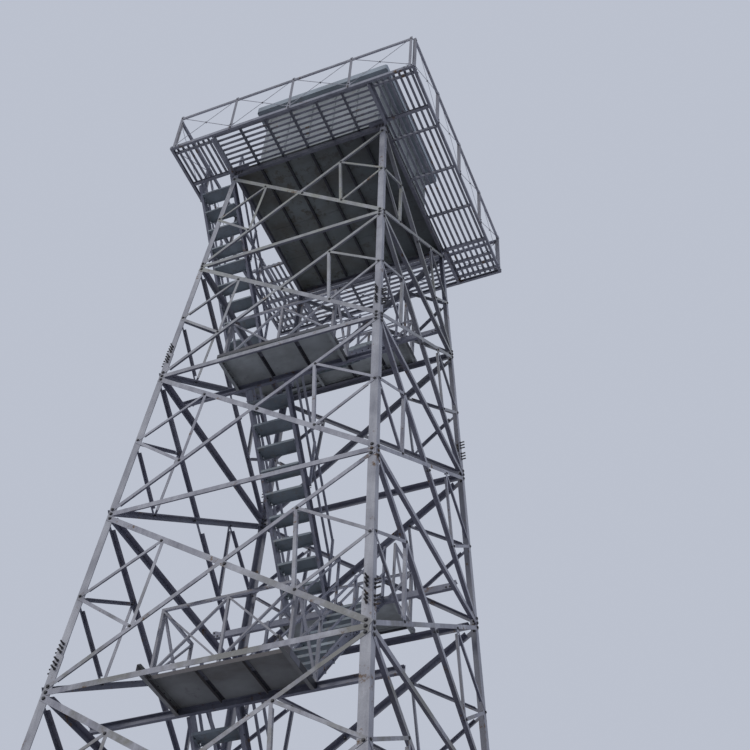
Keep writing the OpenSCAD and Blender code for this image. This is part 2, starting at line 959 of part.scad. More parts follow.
// One side of the railing: angle posts, top rail and crossing rods in each bay
module guard_side() {
    l = 2 * walk_half - 2 * guard_a;
    bay = (l - guard_a) / guard_bays;
    translate([-l / 2, -walk_half, walk_top]) {
        for (i = [0 : guard_bays])
            translate([i * bay, 0, -slat_t])
                linear_extrude(height = guard_h + slat_t + guard_over)
                    angle_2d(guard_a, guard_t);
        translate([0, 0, guard_h])
            rotate([90, 0, 90])
                linear_extrude(height = l)
                    mirror([0, 1, 0])
                        angle_2d(guard_a, guard_t);
        rotate([90, 0, 0])
            translate([0, 0, -guard_t])
                linear_extrude(height = guard_t)
                    for (i = [0 : guard_bays - 1]) {
                        x0 = i * bay + guard_a / 2;
                        rail_bar([x0, 0], [x0 + bay, guard_h - guard_a / 2], rod_w);
                        rail_bar([x0 + bay, 0], [x0, guard_h - guard_a / 2], rod_w);
                        translate([x0 + bay / 2, guard_h / 2 - guard_a / 4])
                            circle(d = 4 * rod_w, $fn = 8);
                    }
    }
}

module guardrail_front() {
    color(galvanised)
        guard_side();
}

module guardrail_right() {
    color(galvanised)
        rotate([0, 0, 90])
            guard_side();
}

module guardrail_rear() {
    color(galvanised)
        rotate([0, 0, 180])
            guard_side();
}

module guardrail_left() {
    color(galvanised)
        rotate([0, 0, 270])
            guard_side();
}

// Cabin

wall_in = cabin_w / 2 - wall_t;

module wall_front() {
    color(cladding)
        translate([-cabin_w / 2, -cabin_w / 2, floor_top])
            cube([cabin_w, wall_t, wall_h]);
}

module wall_right() {
    color(cladding)
        translate([wall_in, -wall_in, floor_top])
            cube([wall_t, 2 * wall_in, wall_h]);
}

module wall_rear() {
    color(cladding)
        translate([-cabin_w / 2, wall_in, floor_top])
            difference() {
                cube([cabin_w, wall_t, wall_h]);
                translate([(cabin_w - door_w) / 2, -1, -1])
                    cube([door_w, wall_t + 2, door_h + 1]);
            }
}

module wall_left() {
    color(cladding)
        translate([-cabin_w / 2, -wall_in, floor_top])
            difference() {
                cube([wall_t, 2 * wall_in, wall_h]);
                translate([-1, wall_in - window_w / 2, sill_h])
                    cube([wall_t + 2, window_w, window_h]);
            }
}

module window_pane() {
    color("lightblue")
        translate([-cabin_w / 2 + wall_t / 2 - glass_t / 2, -window_w / 2, floor_top + sill_h])
            cube([glass_t, window_w, window_h]);
}

// The leaf stands open, folded back against the wall beside the doorway
module door_leaf() {
    color(plate_steel)
        translate([door_w / 2 + 5, cabin_w / 2, floor_top + 10])
            cube([cabin_w / 2 - door_w / 2 - 5 - 10, door_t, door_h - 20]);
}

// A flat deck inside a raised rim with rounded corners
module roof() {
    hollow_w = roof_w - 2 * rim_w;
    color(plate_steel)
        translate([0, 0, floor_top + wall_h])
            difference() {
                linear_extrude(height = roof_h) {
                    square([roof_w - 2 * rim_r, roof_w], center = true);
                    square([roof_w, roof_w - 2 * rim_r], center = true);
                    for (sx = [-1, 1], sy = [-1, 1])
                        translate([sx * (roof_w / 2 - rim_r), sy * (roof_w / 2 - rim_r)])
                            circle(r = rim_r, $fn = 32);
                }
                translate([-hollow_w / 2, -hollow_w / 2, roof_t])
                    cube([hollow_w, hollow_w, roof_h]);
            }
}

leg_front_left();
leg_front_right();
leg_rear_right();
leg_rear_left();
footings();
bracing_front();
bracing_right();
bracing_rear();
bracing_left();
entry_portal();
landing_1();
landing_2();
landing_3();
landing_4();
landing_5();
landing_6();
landing_beams();
landing_rails_front();
landing_rails_rear();
stringers_left_lane();
stringers_right_lane();
stringers_top_flight();
treads_left_lane();
treads_right_lane();
treads_top_flight();
handrails_left_lane();
handrails_right_lane();
handrails_top_flight();
ring_beams();
joists();
floor_plate();
walkway_front();
walkway_rear();
walkway_right();
walkway_left();
guardrail_front();
guardrail_right();
guardrail_rear();
guardrail_left();
wall_front();
wall_right();
wall_rear();
wall_left();
window_pane();
door_leaf();
roof();
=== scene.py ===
import json
import math
import random
from itertools import product

import bmesh
import bpy
from mathutils import Matrix, Vector


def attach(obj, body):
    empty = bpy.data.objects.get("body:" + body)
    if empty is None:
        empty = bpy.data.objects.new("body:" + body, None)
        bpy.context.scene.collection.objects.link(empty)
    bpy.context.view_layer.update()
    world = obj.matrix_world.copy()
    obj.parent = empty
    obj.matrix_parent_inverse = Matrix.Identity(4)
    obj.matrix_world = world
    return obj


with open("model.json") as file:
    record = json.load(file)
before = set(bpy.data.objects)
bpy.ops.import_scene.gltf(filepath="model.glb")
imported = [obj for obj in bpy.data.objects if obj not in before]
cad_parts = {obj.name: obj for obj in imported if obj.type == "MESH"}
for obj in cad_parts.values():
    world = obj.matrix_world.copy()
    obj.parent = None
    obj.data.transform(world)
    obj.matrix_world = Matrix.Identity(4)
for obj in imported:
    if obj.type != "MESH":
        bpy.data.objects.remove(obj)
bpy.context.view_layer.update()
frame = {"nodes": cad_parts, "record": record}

# Sizes shared with the solids, in metres
TOP_W = 3.0
LEAN = 0.05
STOREY = 2.8
STOREYS = 7
FOOT_H = 0.28
LEG_STUB = 0.07
PLATFORM_Z = FOOT_H + STOREYS * STOREY + LEG_STUB
LEG_T = 0.010
LEG_FLANGE = (0.125, 0.125, 0.125, 0.125, 0.110, 0.110, 0.095)
SPLICE_UP = 0.26
SPLICE_T = 0.008
SPLICE_LEVELS = (3, 5)
BASE_T = 0.022
HEEL_GAP = 0.022
JOINT_UP = 0.055
BRACE_T = 0.006
STRUT_A = 0.08
FLIGHT_W = 0.6
RISERS = 10
GROUND_RISERS = 12
TREAD_D = 0.25
STRINGER_T = 0.007
STRINGER_A = 0.045
LANDING_IN = 1.05
LANDING_D = 0.75
LANDING_LEFT = 0.83
LANDING_RIGHT = 0.97
LANDING_W = LANDING_LEFT + LANDING_RIGHT
LANDING_BEAM_H = 0.10
DECK_T = 0.006
RIB_A = 0.05
RIB_T = 0.006
DECK_UP = STRUT_A / 2 + 0.001 + LANDING_BEAM_H + DECK_T
LANE_X = {0: 0.20, 1: -0.66}
OUTER_LANE_X = -2.19
TOP_FLIGHT_START = 0.65
RAIL_W = 0.034
RING_H = 0.11
RING_A = 0.055
JOIST_H = 0.06
JOIST_W = 0.035
JOIST_BAYS = 6
JOIST_XS = [-TOP_W / 2 + i * TOP_W / JOIST_BAYS for i in range(1, JOIST_BAYS)]
BEARER_YS = [-1.1, -0.2, 0.7]
SLAT_T = 0.018
SLATS = 8
WALK_W = 0.88
WALK_HALF = TOP_W / 2 + WALK_W
EDGE_H = 0.075
EDGE_A = 0.045
GUARD_H = 0.96
GUARD_A = 0.05
GUARD_BAYS = 4
GUARD_L = 2 * WALK_HALF - 2 * GUARD_A
GUARD_BAY = (GUARD_L - GUARD_A) / GUARD_BAYS
FLOOR_T = 0.008
FLOOR_Z = PLATFORM_Z + RING_H + JOIST_H
FLOOR_TOP = FLOOR_Z + FLOOR_T
WALK_TOP = FLOOR_Z + SLAT_T
HATCH_REAR = 0.7
CABIN_HALF = 1.2
WALL_H = 2.19
WALL_T = 0.05
WALL_TOP = FLOOR_TOP + WALL_H
ROOF_HALF = 1.39
ROOF_H = 0.15
ROOF_T = 0.05
RIM_W = 0.07
DOOR_W = 0.76
DOOR_H = 1.95
DOOR_T = 0.04
WINDOW_W = 1.1
WINDOW_H = 0.76
SILL_H = 0.95

# The open door's leaf, folded back on the rear wall: its span, its face and its heights
LEAF_X = (DOOR_W / 2 + 0.005, CABIN_HALF - 0.010)
LEAF_Y = CABIN_HALF + DOOR_T
LEAF_Z = (FLOOR_TOP + 0.010, FLOOR_TOP + DOOR_H - 0.010)

# Thickness of a bolt's washer
WASHER_T = 0.004

SIDE_TILT = math.atan(LEAN)
SLOPE_LEN = 1 / math.cos(SIDE_TILT)
SIDES = ("front", "right", "rear", "left")
REAR = 2
LEFT = 3

# Colours of wear, and of painted shade and painted light
TARNISH = (0.34, 0.35, 0.26)
GRIME = (0.17, 0.165, 0.12)
# Painted shade on faces that look inwards
INWARD_SHADE = (0.095, 0.103, 0.145)
RUST = [(0.3, (0.10, 0.052, 0.028)), (0.6, (0.20, 0.13, 0.075)), (0.8, (0.25, 0.175, 0.11))]
STAIN = (0.14, 0.13, 0.10)
SOIL = (0.15, 0.13, 0.12)
# Painted shade towards the right side
RIGHT_SIDE_SHADE = (0.045, 0.055, 0.06)
# Painted shade on faces that look to the right
RIGHT_FACE_SHADE = (0.085, 0.105, 0.095)
# Painted light past the floor plate, in front of the legs and behind them
OUTER_LIGHT = (0.20, 0.205, 0.225)


def level_z(k):
    return FOOT_H + k * STOREY


def half_at(z):
    return TOP_W / 2 + LEAN * (PLATFORM_Z - z)


def deck_top(k):
    return 0.0 if k == 0 else level_z(k) + DECK_UP


# Shader helpers

class Shader:
    """A material's node tree, with short calls for what all finishes here need."""

    def __init__(self, name):
        self.mat = bpy.data.materials.new(name)
        self.mat.use_nodes = True
        self.nodes = self.mat.node_tree.nodes
        self.links = self.mat.node_tree.links
        self.bsdf = self.nodes["Principled BSDF"]
        self.place = self.nodes.new("ShaderNodeTexCoord").outputs["Object"]

    def feed(self, sock, v):
        """Gives a socket a link, a number or a colour."""
        if isinstance(v, bpy.types.NodeSocket):
            self.links.new(v, sock)
        else:
            sock.default_value = (*v, 1) if isinstance(v, tuple) else v

    def stretched(self, scale):
        """The piece's own coordinates, scaled along each axis."""
        n = self.nodes.new("ShaderNodeMapping")
        self.feed(n.inputs["Vector"], self.place)
        n.inputs["Scale"].default_value = scale
        return n.outputs["Vector"]

    def noise(self, scale, detail, rough, at=None, warp=0.0):
        n = self.nodes.new("ShaderNodeTexNoise")
        self.feed(n.inputs["Vector"], at or self.place)
        for key, v in (("Scale", scale), ("Detail", detail), ("Roughness", rough), ("Distortion", warp)):
            n.inputs[key].default_value = v
        return n.outputs["Fac"]

    def math(self, op, a, b=None, clamp=False):
        n = self.nodes.new("ShaderNodeMath")
        n.operation = op
        n.use_clamp = clamp
        self.feed(n.inputs[0], a)
        if b is not None:
            self.feed(n.inputs[1], b)
        return n.outputs["Value"]

    def times(self, a, b, clamp=False):
        return self.math("MULTIPLY", a, b, clamp)

    def plus(self, a, b):
        return self.math("ADD", a, b)

    def ramp(self, fac, stops):
        """A colour ramp; each stop is (position, colour or grey)."""
        n = self.nodes.new("ShaderNodeValToRGB")
        e = n.color_ramp.elements
        while len(e) < len(stops):
            e.new(0.5)
        for s, (p, c) in zip(e, stops):
            s.position = p
            s.color = (*c, 1) if isinstance(c, tuple) else (c, c, c, 1)
        self.feed(n.inputs["Fac"], fac)
        return n.outputs["Color"]

    def mix(self, fac, a, b, blend="MIX"):
        """Two colours mixed; they are inputs 6 and 7 of the node, and output 2 is their mix."""
        n = self.nodes.new("ShaderNodeMix")
        n.data_type = "RGBA"
        n.blend_type = blend
        for i, v in ((0, fac), (6, a), (7, b)):
            self.feed(n.inputs[i], v)
        return n.outputs[2]

    def coat(self, base, colour, mask, share):
        """Lays a colour over the base where the mask says, as strongly as the share."""
        return self.mix(self.times(mask, share), base, colour)

    def normal(self):
        return self.nodes.new("ShaderNodeNewGeometry").outputs["Normal"]

    def part_of(self, vector, axis):
        s = self.nodes.new("ShaderNodeSeparateXYZ")
        self.feed(s.inputs[0], vector)
        return s.outputs[axis]

    def along(self, axis):
        """The piece's own coordinate along an axis."""
        return self.part_of(self.place, axis)

    def height(self):
        return self.along(2)

    def facing(self, axis, sign):
        """How far the surface faces along an axis, from 0 to 1."""
        return self.times(self.part_of(self.normal(), axis), sign, clamp=True)

    def inward(self):
        """How far the surface faces the tower's upright axis, from 0 to 1."""
        out = self.place
        for op, by in (("MULTIPLY", (1, 1, 0)), ("NORMALIZE", None)):
            n = self.nodes.new("ShaderNodeVectorMath")
            n.operation = op
            self.feed(n.inputs[0], out)
            if by:
                n.inputs[1].default_value = by
            out = n.outputs["Vector"]
        dot = self.nodes.new("ShaderNodeVectorMath")
        dot.operation = "DOT_PRODUCT"
        self.feed(dot.inputs[0], out)
        self.feed(dot.inputs[1], self.normal())
        return self.times(dot.outputs["Value"], -1.3, clamp=True)

    def above(self, z, reach):
        """Grows from 0 at a height to 1 at the reach above it."""
        return self.times(self.math("SUBTRACT", self.height(), z), 1 / reach, clamp=True)

    def below(self, z, reach):
        """Grows from 0 at a height to 1 at the reach below it."""
        return self.times(self.math("SUBTRACT", z, self.height()), 1 / reach, clamp=True)

    def bump(self, height, strength, distance):
        n = self.nodes.new("ShaderNodeBump")
        n.inputs["Strength"].default_value = strength
        n.inputs["Distance"].default_value = distance
        self.feed(n.inputs["Height"], height)
        self.feed(self.bsdf.inputs["Normal"], n.outputs["Normal"])

    def done(self, colour, rough, spec, metal=0.0):
        given = {"Base Color": colour, "Roughness": rough, "Metallic": metal, "Specular IOR Level": spec}
        for key, v in given.items():
            self.feed(self.bsdf.inputs[key], v)
        return self.mat


def galvanised(name, light, dark, rust_amount=0.0, tarnish=0.0, inward_shade=0.0, under=None):
    """Weathered zinc: cloudy patches, fine spangle, plumb streaks and spots of rust.
    Tarnish tints the upper storeys a dull yellow and soils the lower ones, and faces that look
    inwards get a painted shade. Undersides can have a share of another colour: painted shade where it is
    dark, painted light where it is pale."""
    s = Shader(name)
    cloud = s.noise(1.7, 4.0, 0.6)
    streak = s.noise(9.0, 4.0, 0.6, s.stretched((1.0, 1.0, 0.12)))
    spangle = s.noise(70.0, 2.0, 0.5)
    tone = s.plus(s.times(cloud, 0.55), s.times(streak, 0.45))
    middle = tuple((a + b) / 2 for a, b in zip(light, dark))
    base = s.ramp(tone, [(0.36, dark), (0.50, middle), (0.65, light)])
    if tarnish:
        high = s.above(13.5, 4.0)
        patch = s.times(s.ramp(s.noise(3.1, 4.0, 0.6), [(0.36, 0.3), (0.62, 1.0)]), tarnish)
        base = s.coat(base, TARNISH, high, patch)
        low = s.below(10.8, 2.0)
        grime = s.times(s.ramp(s.noise(1.6, 5.0, 0.68), [(0.42, 0.0), (0.58, 1.0)]), tarnish)
        base = s.coat(base, GRIME, low, grime)
    # Faces that look inwards get a painted shade
    if inward_shade:
        base = s.coat(base, INWARD_SHADE, s.inward(), inward_shade)
    # Faces that look down get a painted colour: a painted shade where it is dark, a painted light where it
    # is pale
    if under:
        share, tint = under
        base = s.coat(base, tint, s.facing(2, -1), share)
    base = s.mix(0.10, base, s.ramp(spangle, [(0.35, 0.25), (0.65, 0.85)]), "OVERLAY")
    spots = s.times(s.noise(2.3, 5.0, 0.65), s.noise(13.0, 5.0, 0.7))
    rust = s.ramp(spots, [(0.335 - rust_amount, 0.0), (0.40 - rust_amount * 0.8, 1.0)])
    colour = s.mix(rust, base, s.ramp(s.noise(26.0, 4.0, 0.7), RUST))
    rough = s.plus(s.plus(s.times(tone, 0.25), s.times(rust, 0.25)), 0.38)
    s.bump(s.plus(s.times(spangle, 0.4), s.noise(22.0, 4.0, 0.6)), 0.25, 0.002)
    return s.done(colour, rough, spec=0.4, metal=0.15)


def shade(colour, by):
    return tuple(c * by for c in colour)


def painted(name, colour, worn, amount, scale=8.0, stain=0.0, soil=0.0, sides=None,
            right_side_shade=0.0, outer_light=0.0, right_face_shade=0.0):
    """Old paint: mottled, rubbed through in places, with soft brown stains where asked for,
    and soil on what lies low. Faces that stand upright can take a painted shade of their own.
    A painted shade darkens the right side, a painted light brightens what lies in front of
    the legs and behind them, and faces that look to the right get a painted shade."""
    s = Shader(name)
    cloud = s.noise(scale * 0.3, 4.0, 0.6)
    fine = s.noise(scale * 6, 3.0, 0.6)
    base = s.ramp(cloud, [(0.3, shade(colour, 0.72)), (0.7, shade(colour, 1.25))])
    rubs = s.times(s.noise(scale, 5.0, 0.7), s.noise(scale * 2.7, 4.0, 0.7))
    wear = s.ramp(rubs, [(0.30 - amount, 0.0), (0.38 - amount, 1.0)])
    col = s.mix(wear, base, s.ramp(fine, [(0.3, shade(worn, 0.7)), (0.7, worn)]))
    # Faces that stand upright get a painted shade
    if sides:
        level = s.plus(s.facing(2, 1), s.facing(2, -1))
        col = s.mix(s.math("LESS_THAN", level, 0.5), col, sides)
    if stain:
        soft = s.noise(1.5, 5.0, 0.62, s.stretched((0.8, 1.5, 1.0)), 0.1)
        col = s.coat(col, STAIN, s.ramp(soft, [(0.40, 0.0), (0.66, 1.0)]), stain)
    if soil:
        col = s.coat(col, SOIL, s.below(11.0, 2.0), soil)
    # A painted shade, darker towards the right
    if right_side_shade:
        right = s.times(s.plus(s.along(0), 0.6), 0.6, clamp=True)
        col = s.coat(col, RIGHT_SIDE_SHADE, right, right_side_shade)
    # Faces that look to the right get a painted shade
    if right_face_shade:
        col = s.coat(col, RIGHT_FACE_SHADE, s.facing(0, 1), right_face_shade)
    # A painted light on what lies in front of the legs and behind them, out past the floor plate
    if outer_light:
        outer = s.math("GREATER_THAN", s.math("ABSOLUTE", s.along(1)), TOP_W / 2 + 0.03)
        col = s.coat(col, OUTER_LIGHT, outer, outer_light)
    s.bump(s.plus(fine, s.times(wear, -0.6)), 0.2, 0.002)
    return s.done(col, s.plus(s.times(fine, 0.2), 0.5), spec=0.4)


def concrete(name):
    """Cast between boards, with their joint lines, pores, and soil splashed round the foot."""
    s = Shader(name)
    cloud = s.noise(3.0, 5.0, 0.65)
    grit = s.noise(60.0, 4.0, 0.7)
    col = s.ramp(cloud, [(0.3, (0.30, 0.295, 0.275)), (0.7, (0.52, 0.51, 0.48))])
    col = s.mix(0.25, col, s.ramp(grit, [(0.3, 0.3), (0.7, 0.7)]), "OVERLAY")
    board = s.math("PINGPONG", s.plus(s.height(), s.times(cloud, 0.006)), 0.07)
    joint = s.ramp(s.times(board, 14.0), [(0.0, 1.0), (0.07, 0.0)])
    col = s.coat(col, (0.17, 0.165, 0.15), joint, 0.45)
    pores = s.ramp(s.noise(34.0, 2.0, 0.5), [(0.66, 0.0), (0.72, 1.0)])
    col = s.coat(col, (0.14, 0.135, 0.125), pores, 0.6)
    ragged = s.plus(s.height(), s.times(s.noise(9.0, 4.0, 0.6), 0.18))
    splash = s.ramp(ragged, [(0.10, 1.0), (0.24, 0.0)])
    col = s.coat(col, (0.20, 0.17, 0.13), splash, 0.6)
    dents = s.math("SUBTRACT", s.plus(s.noise(14.0, 4.0, 0.6), grit), s.plus(joint, pores))
    s.bump(dents, 0.5, 0.006)
    return s.done(col, s.plus(s.times(grit, 0.1), 0.8), spec=0.3)


def window_glass(name):
    s = Shader(name)
    s.bsdf.inputs["Transmission Weight"].default_value = 0.9
    s.bsdf.inputs["IOR"].default_value = 1.45
    s.bump(s.noise(1.5, 2.0, 0.55), 0.05, 0.004)
    return s.done((0.62, 0.70, 0.72), 0.04, spec=0.5)


ZINC = {
    # The faces of the legs and bracing that look inwards get a painted shade
    "galvanised_steel": dict(light=(0.51, 0.515, 0.52), dark=(0.25, 0.252, 0.275), inward_shade=0.7),
    "bracing_steel": dict(light=(0.50, 0.505, 0.52), dark=(0.24, 0.24, 0.27), tarnish=0.7,
                          # The bracing's undersides get a painted shade
                          inward_shade=0.7, under=(0.55, (0.10, 0.10, 0.165))),
    "rail_steel": dict(light=(0.36, 0.36, 0.375), dark=(0.20, 0.20, 0.22),
                       # The rails' undersides get a painted light
                       under=(0.85, (0.74, 0.75, 0.80))),
    "stair_steel": dict(light=(0.29, 0.30, 0.345), dark=(0.17, 0.175, 0.21), rust_amount=0.005),
    "platform_steel": dict(light=(0.38, 0.39, 0.42), dark=(0.22, 0.225, 0.25), rust_amount=0.005),
    "ring_steel": dict(light=(0.20, 0.205, 0.225), dark=(0.11, 0.11, 0.125), rust_amount=0.01),
    "bolt_steel": dict(light=(0.10, 0.098, 0.10), dark=(0.035, 0.033, 0.033)),
}
PAINT = {
    # The joists' near black stands in for the shade beneath the floor plate, and a painted light makes them
    # paler past it
    "joist_steel": dict(colour=(0.026, 0.027, 0.032), worn=(0.07, 0.062, 0.05), amount=0.01, outer_light=0.8),
    "tread_plate": dict(colour=(0.32, 0.365, 0.375), worn=(0.37, 0.37, 0.34), amount=0.02),
    # The landing's upright faces get a painted shade
    "landing_plate": dict(colour=(0.54, 0.575, 0.53), worn=(0.40, 0.40, 0.37), amount=-0.05, scale=4.0,
                          stain=0.55, soil=0.45, sides=(0.12, 0.12, 0.13)),
    # The floor plate's darkening towards the right is a painted shade
    "floor_plate": dict(colour=(0.235, 0.26, 0.235), worn=(0.165, 0.155, 0.12), amount=0.03, scale=3.0,
                        stain=0.85, right_side_shade=0.65),
    # The cabin's faces that look to the right get a painted shade
    "cabin_panel": dict(colour=(0.31, 0.335, 0.325), worn=(0.36, 0.36, 0.33), amount=0.01, scale=4.0,
                        right_face_shade=0.45),
    "roof_sheet": dict(colour=(0.36, 0.41, 0.425), worn=(0.40, 0.41, 0.40), amount=0.01, scale=4.0),
    "door_paint": dict(colour=(0.12, 0.15, 0.15), worn=(0.22, 0.22, 0.20), amount=0.02),
}
FINISH = {name: galvanised(name, **look) for name, look in ZINC.items()}
FINISH.update({name: painted(name, **look) for name, look in PAINT.items()})
FINISH["window_glass"] = window_glass("window_glass")
FINISH["concrete"] = concrete("cast_concrete")

# Nodes whose finish differs from that of their slot, by the first word of their names
OWN_FINISH = {"bracing": "bracing_steel", "ring": "ring_steel"}

for row in frame["record"]["subparts"]:
    part = frame["nodes"][row["node"]]
    finish = OWN_FINISH.get(row["node"].split("_")[0], row["material_slot"])
    part.data.materials.clear()
    part.data.materials.append(FINISH[finish])


# Geometry Nodes helpers

class Tree:
    """A Geometry Nodes tree with named inputs for its sizes."""

    def __init__(self, name, **sizes):
        self.group = bpy.data.node_groups.new(name, "GeometryNodeTree")
        face = self.group.interface
        face.new_socket("Geometry", in_out="INPUT", socket_type="NodeSocketGeometry")
        self.keys = {}
        for label, value in sizes.items():
            kind = "NodeSocketInt" if isinstance(value, int) else "NodeSocketFloat"
            sock = face.new_socket(label, in_out="INPUT", socket_type=kind)
            sock.default_value = value
            self.keys[label] = sock.identifier
        face.new_socket("Geometry", in_out="OUTPUT", socket_type="NodeSocketGeometry")
        self.nodes, self.links = self.group.nodes, self.group.links
        self.given = self.nodes.new("NodeGroupInput")
        self.out = self.nodes.new("NodeGroupOutput")

    def size(self, label):
        return self.given.outputs[label]

    def feed(self, sock, v):
        if isinstance(v, bpy.types.NodeSocket):
            self.links.new(v, sock)
        else:
            sock.default_value = v

    def node(self, kind, **inputs):
        n = self.nodes.new(kind)
        for key, v in inputs.items():
            self.feed(n.inputs[key.replace("_", " ")], v)
        return n

    def calc(self, op, a, b):
        n = self.nodes.new("ShaderNodeMath")
        n.operation = op
        self.feed(n.inputs[0], a)
        self.feed(n.inputs[1], b)
        return n.outputs[0]

    def times(self, a, b):
        return self.calc("MULTIPLY", a, b)

    def vector(self, x=0.0, y=0.0, z=0.0):
        return self.node("ShaderNodeCombineXYZ", X=x, Y=y, Z=z).outputs[0]

    def shifted(self, geometry, at):
        n = self.node("GeometryNodeTransform", Geometry=geometry, Translation=self.vector(*at))
        return n.outputs[0]

    def cylinder(self, sides, radius, depth, middle):
        """A closed cylinder along Z whose centre is at the height middle."""
        c = self.node("GeometryNodeMeshCylinder", Vertices=sides, Radius=radius, Depth=depth)
        return self.shifted(c.outputs["Mesh"], (0.0, 0.0, middle))

    def box(self, size, at):
        """A box whose sizes and place are numbers or values of the tree."""
        c = self.node("GeometryNodeMeshCube", Size=self.vector(*size))
        return self.shifted(c.outputs["Mesh"], at)

    def copies(self, points, one, turn):
        n = self.node("GeometryNodeInstanceOnPoints", Points=points, Instance=one, Rotation=turn)
        return n.outputs[0]

    def on_points(self, one):
        """One copy on each point of the seed mesh, turned as its turn attribute says."""
        turn = self.nodes.new("GeometryNodeInputNamedAttribute")
        turn.data_type = "FLOAT_VECTOR"
        turn.inputs["Name"].default_value = "turn"
        return self.copies(self.given.outputs[0], one, turn.outputs["Attribute"])

    def join(self, *parts):
        n = self.nodes.new("GeometryNodeJoinGeometry")
        for p in parts:
            self.links.new(p, n.inputs[0])
        return n.outputs[0]

    def end(self, geometry, finish):
        real = self.node("GeometryNodeRealizeInstances", Geometry=geometry)
        mat = self.node("GeometryNodeSetMaterial", Geometry=real.outputs[0], Material=FINISH[finish])
        self.links.new(mat.outputs[0], self.out.inputs[0])


def linked(name, data):
    obj = bpy.data.objects.new(name, data)
    bpy.context.collection.objects.link(obj)
    return obj


def keep_piece(obj):
    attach(obj, "root")


def grow(name, tree, mesh, slot_name, **sizes):
    """Runs a tree on a mesh of points or edges, and keeps the result as a plain mesh piece."""
    seed = linked(name + "_seed", mesh)
    mod = seed.modifiers.new("tree", "NODES")
    mod.node_group = tree.group
    for label, value in sizes.items():
        mod[tree.keys[label]] = value
    graph = bpy.context.evaluated_depsgraph_get()
    made = bpy.data.meshes.new_from_object(seed.evaluated_get(graph), depsgraph=graph)
    made.name = name
    bpy.data.objects.remove(seed)
    keep_piece(linked(name, made))


def points_mesh(places):
    """Points that each carry a turn, from a list of 4x4 matrices."""
    mesh = bpy.data.meshes.new("seed")
    mesh.from_pydata([m.to_translation() for m in places], [], [])
    turn = mesh.attributes.new("turn", "FLOAT_VECTOR", "POINT")
    for i, m in enumerate(places):
        turn.data[i].vector = m.to_euler()
    return mesh


def lines_mesh(pairs):
    """An edge between the two points of each pair."""
    mesh = bpy.data.meshes.new("seed")
    points = [p for pair in pairs for p in pair]
    mesh.from_pydata(points, [(i, i + 1) for i in range(0, len(points), 2)], [])
    return mesh


def bolt_tree():
    """Hex head on a washer, with a nut and the bolt's tail on the far side of the grip."""
    t = Tree("bolt", head=0.012, rise=0.011, grip=0.016, tail=0.014)
    radius, rise = t.size("head"), t.size("rise")
    washer_r, shank_r = t.times(radius, 1.35), t.times(radius, 0.58)
    half = t.times(rise, 0.5)
    back = t.times(t.size("grip"), -1.0)
    washer = t.cylinder(12, washer_r, WASHER_T, WASHER_T / 2)
    head = t.cylinder(6, radius, rise, t.calc("ADD", half, WASHER_T))
    nut = t.cylinder(6, radius, rise, t.calc("SUBTRACT", back, half))
    reach = t.calc("ADD", rise, t.size("tail"))
    tail_middle = t.calc("SUBTRACT", back, t.times(reach, 0.5))
    tail = t.cylinder(8, shank_r, reach, tail_middle)
    t.end(t.on_points(t.join(washer, head, nut, tail)), "bolt_steel")
    return t


def tread_tree():
    """Raised grip lozenges and a nosing bar on a tread, and an angle cleat under each end."""
    t = Tree("tread", depth=TREAD_D, width=FLIGHT_W, rows=4, studs=15)
    grid = t.node("GeometryNodeMeshGrid", Size_X=t.times(t.size("depth"), 0.66),
                  Size_Y=t.times(t.size("width"), 0.92),
                  Vertices_X=t.size("rows"), Vertices_Y=t.size("studs"))
    # Every second lozenge lies across
    index = t.node("GeometryNodeInputIndex").outputs[0]
    skew = t.vector(z=t.times(t.calc("PINGPONG", index, 1.0), math.pi / 2))
    lozenge = t.box((0.024, 0.008, 0.003), (0.0, 0.0, 0.0012))
    parts = [t.copies(grid.outputs["Mesh"], lozenge, skew)]
    parts.append(t.box((0.014, 0.58, 0.004), (-0.112, 0.0, 0.0019)))
    cleat_l, cleat_t = 0.18, 0.005
    for s in (-1, 1):
        parts.append(t.box((cleat_l, cleat_t, 0.05), (0.0, s * (FLIGHT_W / 2 - 0.0027), -0.035)))
        parts.append(t.box((cleat_l, 0.04, cleat_t), (0.0, s * (FLIGHT_W / 2 - 0.020), -0.0078)))
    t.end(t.on_points(t.join(*parts)), "tread_plate")
    return t


def clip_tree():
    """A short angle clip with one bolt, against the side of a joist."""
    t = Tree("clip", leg=0.045, length=0.05, thick=0.005)
    leg, length, thick = t.size("leg"), t.size("length"), t.size("thick")
    half_leg, half_thick = t.times(leg, 0.5), t.times(thick, 0.5)
    upright = t.box((thick, length, leg), (half_thick, 0.0, half_leg))
    foot = t.box((leg, length, thick), (half_leg, 0.0, half_thick))
    bolt = t.shifted(t.cylinder(6, 0.009, 0.008, 0.004), (t.times(leg, 0.6), 0.0, thick))
    t.end(t.on_points(t.join(upright, foot, bolt)), "platform_steel")
    return t


def rib_tree(finish):
    """A bar of even width and height along each edge of a mesh, its ends closed."""
    t = Tree("rib", wide=0.04, high=0.008)
    curve = t.node("GeometryNodeMeshToCurve", Mesh=t.given.outputs[0])
    profile = t.node("GeometryNodeCurvePrimitiveQuadrilateral", Width=t.size("wide"), Height=t.size("high"))
    bar = t.node("GeometryNodeCurveToMesh", Curve=curve.outputs[0], Profile_Curve=profile.outputs[0],
                 Fill_Caps=True)
    t.end(bar.outputs[0], finish)
    return t


# Pieces made in mesh code

